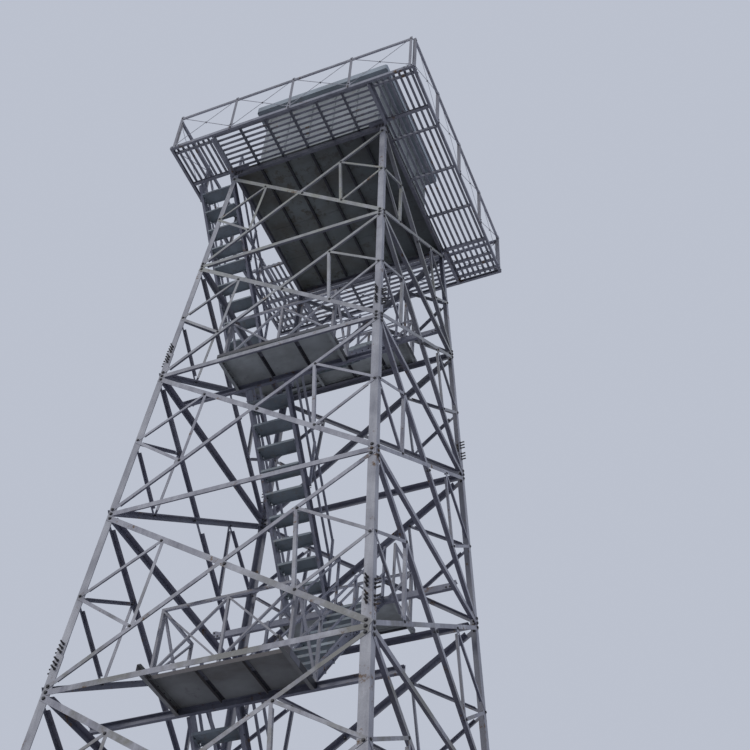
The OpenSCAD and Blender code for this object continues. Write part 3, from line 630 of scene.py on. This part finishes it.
class Shape:
    """Collects closed solids, their edges eased where asked for, into one mesh piece."""

    def __init__(self):
        self.bm = bmesh.new()

    def prism(self, outline, depth, place, ease=0.0):
        """From a flat outline in local x and y, as deep as depth along local z."""
        low = [self.bm.verts.new(place @ Vector((x, y, 0))) for x, y in outline]
        high = [self.bm.verts.new(place @ Vector((x, y, depth))) for x, y in outline]
        ends = [self.bm.faces.new(low[::-1]), self.bm.faces.new(high)]
        ring = list(zip(low, low[1:] + low[:1], high[1:] + high[:1], high))
        faces = ends + [self.bm.faces.new(quad) for quad in ring]
        if ease:
            edges = list(dict.fromkeys(e for f in faces for e in f.edges))
            bmesh.ops.bevel(self.bm, geom=edges, offset=ease, segments=1, affect="EDGES",
                            clamp_overlap=True)

    def block(self, low, high, place=Matrix.Identity(4), ease=0.0015):
        """Between two opposite corners."""
        outline = [(low[0], low[1]), (high[0], low[1]), (high[0], high[1]), (low[0], high[1])]
        self.prism(outline, high[2] - low[2], place @ moved(0, 0, low[2]), ease)

    def rod(self, a, b, radius, sides=12):
        a, b = Vector(a), Vector(b)
        place = Matrix.Translation(a) @ (b - a).to_track_quat("Z", "Y").to_matrix().to_4x4()
        turns = [2 * math.pi * i / sides for i in range(sides)]
        self.prism([(radius * math.cos(t), radius * math.sin(t)) for t in turns], (b - a).length, place)

    def keep(self, name, finish, slot_name=None):
        bmesh.ops.recalc_face_normals(self.bm, faces=self.bm.faces)
        mesh = bpy.data.meshes.new(name)
        self.bm.to_mesh(mesh)
        self.bm.free()
        mesh.materials.append(FINISH[finish])
        keep_piece(linked(name, mesh))


def bolts(name, places, slot_name, **sizes):
    grow(name, BOLT, points_mesh(places), slot_name, **sizes)


def angle_outline(a, t):
    return [(0, 0), (a, 0), (a, t), (t, t), (t, a), (0, a)]


def moved(x, y, z):
    return Matrix.Translation((x, y, z))


def turned(degrees, axis="Z"):
    return Matrix.Rotation(math.radians(degrees), 4, axis)


def spun():
    """A chance turn of a hex head."""
    return turned(random.uniform(0, 60))


# Carry what is drawn at the front to each of the four sides
QUARTERS = [turned(90 * k) for k in range(4)]
# Turn a bolt whose head looks up: to the front, or over
FACE_FRONT = turned(90, "X")
FLIPPED = turned(180, "X")
# Stand an outline up, with its depth along x and its own x to the rear, or to the front
UPRIGHT = turned(90, "Z") @ turned(90, "X")
UPRIGHT_OUT = UPRIGHT @ Matrix.Scale(-1, 4, (1, 0, 0))
SWAP_XY = Matrix(((0, 1, 0, 0), (1, 0, 0, 0), (0, 0, 1, 0), (0, 0, 0, 1)))


# Where things are on a side of the tower

def side_matrix(k):
    """Local x across the side, y up along it, z outwards, as the solids have it."""
    lean = Matrix.Rotation(math.pi / 2 - SIDE_TILT, 4, "X")
    return QUARTERS[k] @ moved(0, -half_at(FOOT_H), FOOT_H) @ lean


def up(z):
    return (z - FOOT_H) * SLOPE_LEN


def on_left(z):
    return Vector((-half_at(z) + HEEL_GAP, up(z)))


def on_right(z):
    return Vector((half_at(z) - HEEL_GAP, up(z)))


def storey_bars(k):
    """Ends of a storey's bars: heavy diagonal, light diagonal, small braces."""
    z0, z1 = level_z(k), level_z(k + 1)
    mid = (z0 + z1) / 2
    heavy = (on_left(z1 - JOINT_UP), on_right(z0 + JOINT_UP))
    light = (on_left(z0 + JOINT_UP), on_right(z1 - JOINT_UP))
    small = []
    for s, f in ((on_left(mid), 0.25), (on_right(mid), 0.75)):
        a, b = heavy[0].lerp(heavy[1], f), light[0].lerp(light[1], f)
        small += [(s, a), (s, b), (b, a)]
    return heavy, light, small


def side_range(k):
    """Storeys that a side's bracing fills: the way in is at the rear, the top flight at the left."""
    return range(1 if k == REAR else 0, STOREYS - 1 if k == LEFT else STOREYS)


# Bolts of the lattice and the legs

def bar_bolts(places, side, a, b, offset):
    """A bolt on a bar's centre line, at a distance from its end a."""
    p = a + (b - a).normalized() * offset
    places.append(side @ moved(p.x, p.y, BRACE_T) @ spun())


def at_leg_middle(places, side, a, b, level):
    """A bolt where a bar crosses the middle of a leg's flange."""
    across = abs((b - a).normalized().x)
    bar_bolts(places, side, a, b, (LEG_FLANGE[level] / 2 - HEEL_GAP) / across)


def apart(places, gap):
    """Drops a place that lies nearer to an earlier one than the gap."""
    kept = []
    for p in places:
        if all((p.translation - q.translation).length > gap for q in kept):
            kept.append(p)
    return kept


def bracing_bolts():
    """Large bolts at the legs and where diagonals cross, small ones on the small braces."""
    for k, word in enumerate(SIDES):
        side = side_matrix(k)
        large, small = [], []
        for n in side_range(k):
            heavy, light, minor = storey_bars(n)
            for a, b in (heavy, light):
                at_leg_middle(large, side, a, b, n)
                at_leg_middle(large, side, b, a, n)
            bar_bolts(large, side, *heavy, (heavy[1] - heavy[0]).length / 2)
            for a, b in minor:
                bar_bolts(small, side, a, b, 0.03)
                bar_bolts(small, side, b, a, 0.025)
        for n in range(1, STOREYS):
            a, b = on_left(level_z(n)), on_right(level_z(n))
            at_leg_middle(large, side, a, b, n)
            at_leg_middle(large, side, b, a, n)
        bolts("joint_bolts_" + word, apart(large, 0.03), "galvanised_steel", head=0.019, rise=0.014)
        bolts("brace_bolts_" + word, apart(small, 0.06), "galvanised_steel", head=0.016, rise=0.011)


def splice_bolts():
    """At each splice, two groups of three on each leg flange, their long tails standing out."""
    places = []
    for k, level, d in product(range(4), SPLICE_LEVELS, (0.07, 0.13, 0.19, 0.31, 0.37, 0.43)):
        z = level_z(level) + SPLICE_UP + d
        for s in (-1, 1):
            x = s * (half_at(z) - LEG_FLANGE[level] / 2)
            inside = side_matrix(k) @ moved(x, up(z), -LEG_T - SPLICE_T)
            places.append(inside @ FLIPPED @ spun())
    bolts("splice_bolts", places, "galvanised_steel", head=0.019, rise=0.014,
          grip=LEG_T + SPLICE_T, tail=0.06)


def leg_feet():
    """Anchor bolts on the base plates, and a triangular rib on each leg flange."""
    middle = half_at(FOOT_H) - LEG_FLANGE[0] / 2
    top = FOOT_H + BASE_T
    both, offsets = (-1, 1), (-0.125, 0.125)
    places = []
    for sx, sy, dx, dy in product(both, both, offsets, offsets):
        places.append(moved(sx * middle + dx, sy * middle + dy, top + WASHER_T) @ FLIPPED @ spun())
    bolts("anchor_bolts", places, "galvanised_steel", head=0.019, rise=0.017, grip=0.0, tail=0.03)
    ribs = Shape()
    rib = [(0, 0), (0.085, 0), (0.085, 0.012), (0.012, 0.14), (0, 0.14)]
    for turn, mirror in product(QUARTERS, (Matrix.Identity(4), SWAP_XY)):
        heel = turn @ moved(-half_at(top), -half_at(top), top)
        ribs.prism(rib, 0.010, heel @ mirror @ moved(0.09, LEG_T + 0.006, 0) @ UPRIGHT, 0.001)
    ribs.keep("base_plate_ribs", "galvanised_steel")


def portal_plate():
    """Gusset where the two leaning bars of the way in meet, and the bolts of both bars."""
    side = side_matrix(REAR)
    plate_t = 0.008
    top = up(level_z(1)) - STRUT_A / 2 - 0.004
    plate = [(-0.17, top - 0.012), (-0.12, top - 0.20), (0.12, top - 0.20), (0.17, top - 0.012)]
    s = Shape()
    s.prism(plate, plate_t, side @ moved(0, 0, BRACE_T), 0.001)
    s.keep("portal_gusset", "galvanised_steel")
    rows = (top - 0.06, top - 0.13)
    places = [side @ moved(x, y, BRACE_T + plate_t) for x, y in product((-0.07, 0.07), rows)]
    foot_z = level_z(0) + JOINT_UP
    for a in (on_left(foot_z), on_right(foot_z)):
        at_leg_middle(places, side, a, Vector((0, up(level_z(1)))), 0)
    bolts("portal_bolts", places, "galvanised_steel", head=0.017)


# Stair

def flight_risers(k):
    return GROUND_RISERS if k == 1 else RISERS


def flight_place(k):
    """Local x along the flight, y across it and z up, from its foot; also its run and rise."""
    foot = deck_top(k - 1)
    if k == STOREYS:
        run, rise = TOP_FLIGHT_START + TOP_W / 2, WALK_TOP - foot
        x, y = OUTER_LANE_X, TOP_FLIGHT_START
    else:
        run, rise = 2 * LANDING_IN / RISERS * flight_risers(k), deck_top(k) - foot
        x = LANE_X[k % 2]
        y = run - LANDING_IN if k % 2 else -LANDING_IN
    if k % 2:
        return moved(x, y, foot) @ turned(-90), run, rise
    return moved(x + FLIGHT_W, y, foot) @ turned(90), run, rise


def flight_steps(k):
    place, run, rise = flight_place(k)
    n = flight_risers(k)
    return [place @ moved(i * run / n, FLIGHT_W / 2, i * rise / n) for i in range(1, n)]


def tread_fittings():
    """Grips, nosings and cleats of the treads, and the bolts through the stringers."""
    tree = tread_tree()
    lanes = {"left_lane": (1, 3, 5), "right_lane": (2, 4, 6), "top_flight": (7,)}
    for word, flights in lanes.items():
        places = [p for k in flights for p in flight_steps(k)]
        grow("tread_fittings_" + word, tree, points_mesh(places), "tread_plate")
        screws = []
        for p, dx, s in product(places, (-0.05, 0.05), (-1, 1)):
            out = moved(dx, s * (FLIGHT_W / 2 + STRINGER_T), -0.035) @ turned(-90 * s, "X")
            screws.append(p @ out)
        bolts("stringer_bolts_" + word, screws, "stair_steel", head=0.009, rise=0.007,
              grip=0.014, tail=0.006)


def handrail_bolts():
    """Two bolts through the foot of each handrail post."""
    places = []
    half = RAIL_W / 2
    lines = ((-STRINGER_A - RAIL_W, 1), (FLIGHT_W + STRINGER_A + RAIL_W, -1))
    for k in range(1, STOREYS + 1):
        place, run, rise = flight_place(k)
        first, last = 0.06 * run, 0.94 * run
        posts = (first, (first + last) / 2 - half, last - RAIL_W)
        for x, dz, (y, s) in product(posts, (0.02, 0.06), lines):
            z = (x + half) * rise / run + dz
            places.append(place @ moved(x + half, y, z) @ turned(90 * s, "X"))
    bolts("handrail_bolts", places, "stair_steel", head=0.008, rise=0.006, grip=RAIL_W, tail=0.004)


def landing_brackets():
    """A bolted gusset where each landing's beams stand on the struts."""
    s, places = Shape(), []
    gusset = [(-0.20, 0.004), (0, 0.004), (0, 0.125), (-0.05, 0.125), (-0.20, 0.06)]
    holes = ((-0.15, 0.03), (-0.09, 0.03), (-0.03, 0.03), (-0.03, 0.095))
    for k, sx in product(range(1, STOREYS), (-1, 1)):
        if k == STOREYS - 1 and sx < 0:
            continue
        flip = Matrix.Scale(-1 if k % 2 else 1, 4, (0, 1, 0))
        top = deck_top(k) - DECK_T
        low = top - LANDING_BEAM_H
        reach = half_at(top) - 0.006
        corner = flip @ moved(sx * reach, LANDING_IN - 0.001, low)
        s.prism(gusset, 0.006, corner @ Matrix.Scale(sx, 4, (1, 0, 0)) @ FACE_FRONT, 0.001)
        for x, z in holes:
            places.append(flip @ moved(sx * (reach + x), LANDING_IN - 0.007, low + z) @ FACE_FRONT)
    s.keep("landing_brackets", "stair_steel")
    bolts("landing_bracket_bolts", places, "stair_steel", head=0.011, rise=0.009, grip=0.013, tail=0.008)


def landing_edge_bolts():
    """Deck bolts along each landing's ribs."""
    places = []
    for k, f, i in product(range(1, STOREYS), (0.0, 1 / 3, 2 / 3, 1.0), range(4)):
        x = -LANDING_LEFT + f * LANDING_W + (0.025 if f < 1 else -0.025)
        y = LANDING_IN + 0.10 + 0.15 * i
        places.append(moved(x, -y if k % 2 else y, deck_top(k)) @ spun())
    bolts("landing_deck_bolts", places, "landing_plate", head=0.009, rise=0.005, grip=0.012, tail=0.006)


def landing_seams():
    """Dark sealing strips along the two middle ribs of each landing's deck."""
    s = Shape()
    y0, y1 = LANDING_IN + RIB_A + 0.01, LANDING_IN + LANDING_D - 0.06
    for k, f in product(range(1, STOREYS), (1 / 3, 2 / 3)):
        flip = QUARTERS[2 if k % 2 else 0]
        sx = -1 if k % 2 else 1
        under = deck_top(k) - DECK_T - RIB_T
        x = -LANDING_LEFT + f * LANDING_W
        x0, x1 = sorted((sx * (x + RIB_T), sx * (x + RIB_A)))
        s.block((x0, y0, under - 0.0015), (x1, y1, under), flip, 0.0005)
    s.keep("landing_seam_strips", "joist_steel")


def landing_end_plates():
    """Kick plates on the outer faces of each landing's end channels."""
    s = Shape()
    plate_t = 0.003
    for k in range(1, STOREYS):
        flip = QUARTERS[2 if k % 2 else 0]
        top = deck_top(k) - DECK_T
        low, high = top - LANDING_BEAM_H + 0.003, top - 0.003
        ends = (-LANDING_RIGHT, LANDING_LEFT) if k % 2 else (-LANDING_LEFT, LANDING_RIGHT)
        y1 = min(half_at(low), LANDING_IN + LANDING_D) - 0.02
        for x0, x1 in ((ends[0] - plate_t, ends[0]), (ends[1], ends[1] + plate_t)):
            s.block((x0, LANDING_IN + 0.004, low), (x1, y1, high), flip, 0.001)
    s.keep("landing_end_plates", "joist_steel", "stair_steel")


# Platform

def joist_clips():
    """An angle clip on both sides of each joist's ends."""
    places = []
    for x, s in product(JOIST_XS, (-1, 1)):
        y = s * (TOP_W / 2 - RING_A / 2)
        places.append(moved(x + JOIST_W / 2, y, PLATFORM_Z + RING_H))
        places.append(moved(x - JOIST_W / 2, y, PLATFORM_Z + RING_H) @ turned(180))
    grow("joist_clips", clip_tree(), points_mesh(places), "platform_steel")


def ring_bolts():
    """Bolts through the ring beams' webs, near the legs."""
    places = []
    for turn, s, d, z in product(QUARTERS, (-1, 1), (0.04, 0.10, 0.16), (0.03, 0.08)):
        places.append(turn @ moved(s * (TOP_W / 2 - d), -TOP_W / 2, PLATFORM_Z + z) @ FACE_FRONT)
    bolts("ring_bolts", places, "platform_steel", head=0.012, rise=0.009, grip=0.007, tail=0.012)


def slat_screws():
    """A screw where each slat lies on a joist or bearer."""
    pitch = (WALK_W - GUARD_A) / SLATS
    lines = [TOP_W / 2 + (i + 0.5) * pitch for i in range(SLATS)]
    corner = (TOP_W + WALK_W) / 2 + RING_A / 2
    last = WALK_HALF - EDGE_A - 0.1
    ends = [corner - 0.085, corner + 0.085, last, -last]
    spots = [(x, s * y) for y, x, s in product(lines, JOIST_XS, (-1, 1))]
    for x in lines:
        spots += [(x, y) for y in BEARER_YS + ends]
        spots += [(-x, y) for y in ends + [HATCH_REAR + JOIST_W / 2]]
    places = [moved(x, y, WALK_TOP) for x, y in spots]
    bolts("slat_screws", places, "platform_steel", head=0.007, rise=0.004,
          grip=SLAT_T + JOIST_H, tail=0.012)


def edge_fittings():
    """Plates at the corners of the edge beams and over the railing's posts, with their bolts."""
    s, places = Shape(), []
    plate_t, corner_l = 0.005, 0.22
    face = -WALK_HALF - plate_t
    for turn in QUARTERS:
        for x0 in (-WALK_HALF, WALK_HALF - corner_l):
            low, high = (x0, face, FLOOR_Z - EDGE_H + 0.008), (x0 + corner_l, -WALK_HALF, FLOOR_Z - 0.006)
            s.block(low, high, turn, 0.001)
            for f in (0.2, 0.5, 0.8):
                places.append(turn @ moved(x0 + f * corner_l, face, FLOOR_Z - EDGE_H / 2) @ FACE_FRONT)
        for i in range(1, GUARD_BAYS):
            x = -GUARD_L / 2 + i * GUARD_BAY
            low = (x - 0.012, face, FLOOR_Z - EDGE_H + 0.01)
            high = (x + GUARD_A + 0.012, -WALK_HALF, WALK_TOP + 0.07)
            s.block(low, high, turn, 0.001)
            for z in (FLOOR_Z - EDGE_H * 0.7, FLOOR_Z - EDGE_H * 0.25, WALK_TOP + 0.045):
                places.append(turn @ moved(x + GUARD_A / 2, face, z) @ FACE_FRONT)
    s.keep("edge_plates", "platform_steel")
    bolts("edge_bolts", places, "platform_steel", head=0.010, rise=0.008, grip=0.010, tail=0.010)


def guard_fittings():
    """Rod eyes at the posts, a bolt in each crossing disc, and the top rail's bolts."""
    s, places = Shape(), []
    eye = [(0.02, -0.014), (0.095, -0.010), (0.095, 0.010), (0.02, 0.014)]
    high = GUARD_H - GUARD_A / 2
    rod_turn = math.degrees(math.atan2(high, GUARD_BAY))
    for turn in QUARTERS:
        for i in range(GUARD_BAYS):
            x0 = -GUARD_L / 2 + i * GUARD_BAY + GUARD_A / 2
            x1 = x0 + GUARD_BAY
            middle_z = WALK_TOP + GUARD_H / 2 - GUARD_A / 4
            places.append(turn @ moved(x0 + GUARD_BAY / 2, -WALK_HALF, middle_z) @ FACE_FRONT)
            for x, z, a in ((x0, 0, rod_turn), (x1, 0, 180 - rod_turn),
                            (x0, high, -rod_turn), (x1, high, 180 + rod_turn)):
                place = turn @ moved(x, -WALK_HALF + 0.005, WALK_TOP + z) @ FACE_FRONT @ turned(a)
                s.prism(eye, 0.009, place, 0.001)
        for i in range(GUARD_BAYS + 1):
            x = -GUARD_L / 2 + i * GUARD_BAY + GUARD_A / 2
            places.append(turn @ moved(x, -WALK_HALF, WALK_TOP + GUARD_H - 0.025) @ FACE_FRONT)
    s.keep("rod_eyes", "rail_steel")
    bolts("guard_bolts", places, "rail_steel", head=0.009, rise=0.007, grip=0.010, tail=0.008)


def floor_seams():
    """Backing strips under the joints of the floor's plates, between the joists."""
    s = Shape()
    joist_sides = [x + d for x, d in product(JOIST_XS, (-JOIST_W / 2, JOIST_W / 2))]
    edges = [-TOP_W / 2 + RING_A] + joist_sides + [TOP_W / 2 - RING_A]
    for (x0, x1), y in product(zip(edges[::2], edges[1::2]), (-0.75, 0.0, 0.75)):
        s.block((x0 + 0.002, y - 0.03, FLOOR_Z - 0.005), (x1 - 0.002, y + 0.03, FLOOR_Z), ease=0.001)
    s.keep("floor_seam_strips", "floor_plate")


# Cabin

def wall_seams():
    """Cover strips over the joints of the wall sheets."""
    seams = ((-0.72, -0.24, 0.24, 0.72), (-0.72, -0.24, 0.24, 0.72), (-0.80, 0.80), (-0.86, 0.86))
    ends = (FLOOR_TOP + 0.09, WALL_TOP - 0.07)
    high = 0.007
    pairs = []
    for turn, xs in zip(QUARTERS, seams):
        pairs += [[turn @ Vector((x, -CABIN_HALF - high / 2, z)) for z in ends] for x in xs]
    grow("wall_cover_strips", rib_tree("cabin_panel"), lines_mesh(pairs), "cabin_panel",
         wide=0.05, high=high)


def cabin_trim():
    """Corner angles, a skirting and a head band round the cabin."""
    s = Shape()
    angle_a = 0.07
    x0, x1 = -CABIN_HALF + angle_a, CABIN_HALF - angle_a
    skirt = [(0, 0), (0.012, 0), (0.012, 0.07), (0.003, 0.085), (0, 0.085)]
    door = DOOR_W / 2 + 0.07
    corner = moved(-CABIN_HALF - 0.004, -CABIN_HALF - 0.004, FLOOR_TOP + 0.002)
    for k, turn in enumerate(QUARTERS):
        s.prism(angle_outline(angle_a, 0.0038), WALL_H - 0.004, turn @ corner, 0.0012)
        spans = [(x0, -door), (door, x1)] if k == REAR else [(x0, x1)]
        for a, b in spans:
            s.prism(skirt, b - a, turn @ moved(a, -CABIN_HALF, FLOOR_TOP + 0.002) @ UPRIGHT_OUT, 0.001)
        low, high = (x0, -CABIN_HALF - 0.010, WALL_TOP - 0.06), (x1, -CABIN_HALF, WALL_TOP - 0.001)
        s.block(low, high, turn, 0.002)
    s.keep("cabin_trim", "cabin_panel")


def wall_screws():
    """Lines of screws down the walls, clear of the window; on the rear only on the leaf's side."""
    places = []
    lowest, pitch = FLOOR_TOP + 0.2, 0.36
    for k, x, i in product(range(4), (-1.14, -0.72, -0.24, 0.24, 0.72, 1.14), range(6)):
        z = lowest + pitch * i
        off_leaf_side = k == REAR and x > -0.5
        at_window = k == LEFT and abs(x) < 0.6 and z > FLOOR_TOP + SILL_H - 0.1
        if not off_leaf_side and not at_window:
            places.append(QUARTERS[k] @ moved(x, -CABIN_HALF - 0.0065, z) @ FACE_FRONT)
    bolts("wall_screws", places, "cabin_panel", head=0.007, rise=0.003, grip=0.004, tail=0.0)


def border(x0, x1, z0, z1, w):
    """Four bars inside a rectangle's edges."""
    return [(x0, x0 + w, z0, z1), (x1 - w, x1, z0, z1),
            (x0 + w, x1 - w, z1 - w, z1), (x0 + w, x1 - w, z0, z0 + w)]


def window_frame():
    """Casing, sash and a middle bar round the pane, and a sill that throws water off."""
    s = Shape()
    turn = QUARTERS[LEFT]
    z0, z1 = FLOOR_TOP + SILL_H, FLOOR_TOP + SILL_H + WINDOW_H
    half, face = WINDOW_W / 2, -CABIN_HALF
    casing, bar, past = 0.05, 0.035, 0.07
    for x0, x1, a, b in border(-half - casing, half + casing, z0 - casing, z1 + casing, casing):
        s.block((x0, face - 0.014, a), (x1, face, b), turn, 0.003)
    for x0, x1, a, b in border(-half, half, z0, z1, bar) + [(-0.016, 0.016, z0 + bar, z1 - bar)]:
        s.block((x0, face + 0.004, a), (x1, face + 0.019, b), turn, 0.002)
        s.block((x0, face + 0.031, a), (x1, face + WALL_T - 0.002, b), turn, 0.002)
    sill = [(0, 0), (0.05, -0.012), (0.05, 0.0), (0, 0.018)]
    place = turn @ moved(-half - past, face, z0 - 0.004) @ UPRIGHT_OUT
    s.prism(sill, WINDOW_W + 2 * past, place, 0.001)
    s.keep("window_frame", "cabin_panel")


def door_casing():
    """Casing and threshold of the doorway, and the raised rails of the leaf beside it."""
    s = Shape()
    y, half, z0 = CABIN_HALF, DOOR_W / 2, FLOOR_TOP
    head, top = z0 + DOOR_H, z0 + DOOR_H + 0.06
    s.block((-half - 0.06, y, z0 + 0.002), (-half, y + 0.012, top), ease=0.002)
    s.block((-half, y, head), (half, y + 0.012, top), ease=0.002)
    s.block((-half, y - WALL_T, z0 + 0.001), (half, y + 0.02, z0 + 0.009), ease=0.002)
    x0, x1 = LEAF_X
    low, high = LEAF_Z
    foot, cap, wide = low + 0.16, high - 0.11, 0.10
    rails = ((x0, x1, low, foot), (x0, x1, cap, high), (x0, x0 + wide, foot, cap),
             (x1 - wide, x1, foot, cap), (x0 + wide, x1 - wide, low + 0.95, low + 1.06))
    for a, b, c, d in rails:
        s.block((a + 0.001, LEAF_Y, c + 0.001), (b - 0.001, LEAF_Y + 0.005, d - 0.001))
    s.keep("door_casing_and_rails", "door_paint")


def door_hardware():
    """Three hinges, the rim lock and the lever of the leaf."""
    s = Shape()
    low, high = LEAF_Z
    pin_x, pin_y = DOOR_W / 2 - 0.002, CABIN_HALF + 0.012
    for z in (low + 0.2, low + 0.95, high - 0.2):
        s.rod((pin_x, pin_y, z - 0.05), (pin_x, pin_y, z + 0.05), 0.009)
        s.block((pin_x, LEAF_Y, z - 0.04), (pin_x + 0.052, LEAF_Y + 0.007, z + 0.04), ease=0.001)
    x, lever_z = LEAF_X[1] - 0.05, low + 1.03
    s.block((x - 0.03, LEAF_Y + 0.005, low + 0.90), (x + 0.03, LEAF_Y + 0.013, low + 1.08), ease=0.002)
    s.rod((x, LEAF_Y + 0.013, lever_z), (x, LEAF_Y + 0.045, lever_z), 0.009)
    s.rod((x + 0.008, LEAF_Y + 0.040, lever_z), (x - 0.11, LEAF_Y + 0.040, lever_z), 0.008)
    s.keep("door_hinges_and_lever", "rail_steel", "galvanised_steel")


def roof_fittings():
    """Standing seams on the deck, and flashing up the inner faces of the rim."""
    inner = ROOF_HALF - RIM_W
    deck = WALL_TOP + ROOF_T
    seam_pitch = 0.36
    ys = (-inner + 0.07, inner - 0.07)
    pairs = [[Vector((i * seam_pitch, y, deck + 0.010)) for y in ys] for i in range(-3, 4)]
    grow("roof_seams", rib_tree("roof_sheet"), lines_mesh(pairs), "roof_sheet", wide=0.016, high=0.022)
    s = Shape()
    rise = ROOF_H - ROOF_T - 0.006
    flashing = [(0, 0), (0.06, 0), (0.06, 0.003), (0.004, 0.006), (0.004, rise), (0, rise)]
    gap = 0.062
    for turn in QUARTERS:
        s.prism(flashing, 2 * (inner - gap), turn @ moved(-inner + gap, -inner, deck) @ UPRIGHT, 0.0008)
    s.keep("roof_flashing", "roof_sheet")


# Stage, light and camera

def seen_rays(nodes, links):
    """Is 1 for the rays by which the camera, gloss and glass see the background."""
    rays = nodes.new("ShaderNodeLightPath")
    found = rays.outputs["Is Camera Ray"]
    for kind in ("Is Glossy Ray", "Is Transmission Ray"):
        either = nodes.new("ShaderNodeMath")
        either.operation = "MAXIMUM"
        links.new(found, either.inputs[0])
        links.new(rays.outputs[kind], either.inputs[1])
        found = either.outputs[0]
    return found


def backdrop():
    """A wide pale floor, whose bounce onto the tower is weaker than what is seen of it."""
    mesh = bpy.data.meshes.new("floor")
    r = 400.0
    mesh.from_pydata([(-r, -r, 0), (r, -r, 0), (r, r, 0), (-r, r, 0)], [], [(0, 1, 2, 3)])
    ground = linked("floor", mesh)
    s = Shader("pale_floor")
    colour = s.mix(seen_rays(s.nodes, s.links), (0.28, 0.275, 0.30), (0.80, 0.78, 0.74))
    mesh.materials.append(s.done(colour, 0.9, spec=0.5))


def world_light():
    """An even cool fill, and the greyer background that is seen in its place."""
    world = bpy.data.worlds.new("studio")
    bpy.context.scene.world = world
    world.use_nodes = True
    nodes, links = world.node_tree.nodes, world.node_tree.links
    both = nodes.new("ShaderNodeMixShader")
    links.new(seen_rays(nodes, links), both.inputs["Fac"])
    skies = ((nodes["Background"], (0.74, 0.79, 1.0, 1), 0.66),
             (nodes.new("ShaderNodeBackground"), (0.50, 0.535, 0.62, 1), 1.0))
    for i, (sky, colour, strength) in enumerate(skies, 1):
        sky.inputs["Color"].default_value = colour
        sky.inputs["Strength"].default_value = strength
        links.new(sky.outputs[0], both.inputs[i])
    links.new(both.outputs[0], nodes["World Output"].inputs["Surface"])


def key_light():
    """Soft, from the front left and a little above."""
    lamp = bpy.data.lights.new("key", "SUN")
    lamp.energy = 0.6
    lamp.angle = math.radians(12)
    lamp.color = (1.0, 0.975, 0.93)
    key = linked("key", lamp)
    toward = Vector((0.35, 1.0, -0.5))
    key.rotation_mode = "QUATERNION"
    key.rotation_quaternion = toward.to_track_quat("-Z", "Y")


def camera():
    """Stands near the tower's foot and looks up, tilted a little, as in the photo."""
    data = bpy.data.cameras.new("camera")
    data.sensor_fit = "HORIZONTAL"
    data.sensor_width = 36.0
    data.lens = 59.51
    data.clip_start = 0.1
    data.clip_end = 1000.0
    cam = linked("camera", data)
    eye = (6.531, -11.928, 0.778)
    right = Vector((0.92476, 0.37772, 0.04642))
    forward = Vector((-0.28680, 0.61152, 0.73742))
    down = Vector((-0.25015, 0.69525, -0.67384))
    turn = Matrix((right, -down, -forward)).transposed()
    cam.matrix_world = moved(*eye) @ turn.to_4x4()
    bpy.context.scene.camera = cam


random.seed(7)
BOLT = bolt_tree()
bracing_bolts()
splice_bolts()
leg_feet()
portal_plate()
tread_fittings()
handrail_bolts()
landing_brackets()
landing_edge_bolts()
landing_seams()
landing_end_plates()
joist_clips()
ring_bolts()
slat_screws()
edge_fittings()
guard_fittings()
floor_seams()
wall_seams()
cabin_trim()
wall_screws()
window_frame()
door_casing()
door_hardware()
roof_fittings()
backdrop()
world_light()
key_light()
camera()
bpy.context.scene.view_settings.view_transform = "Standard"
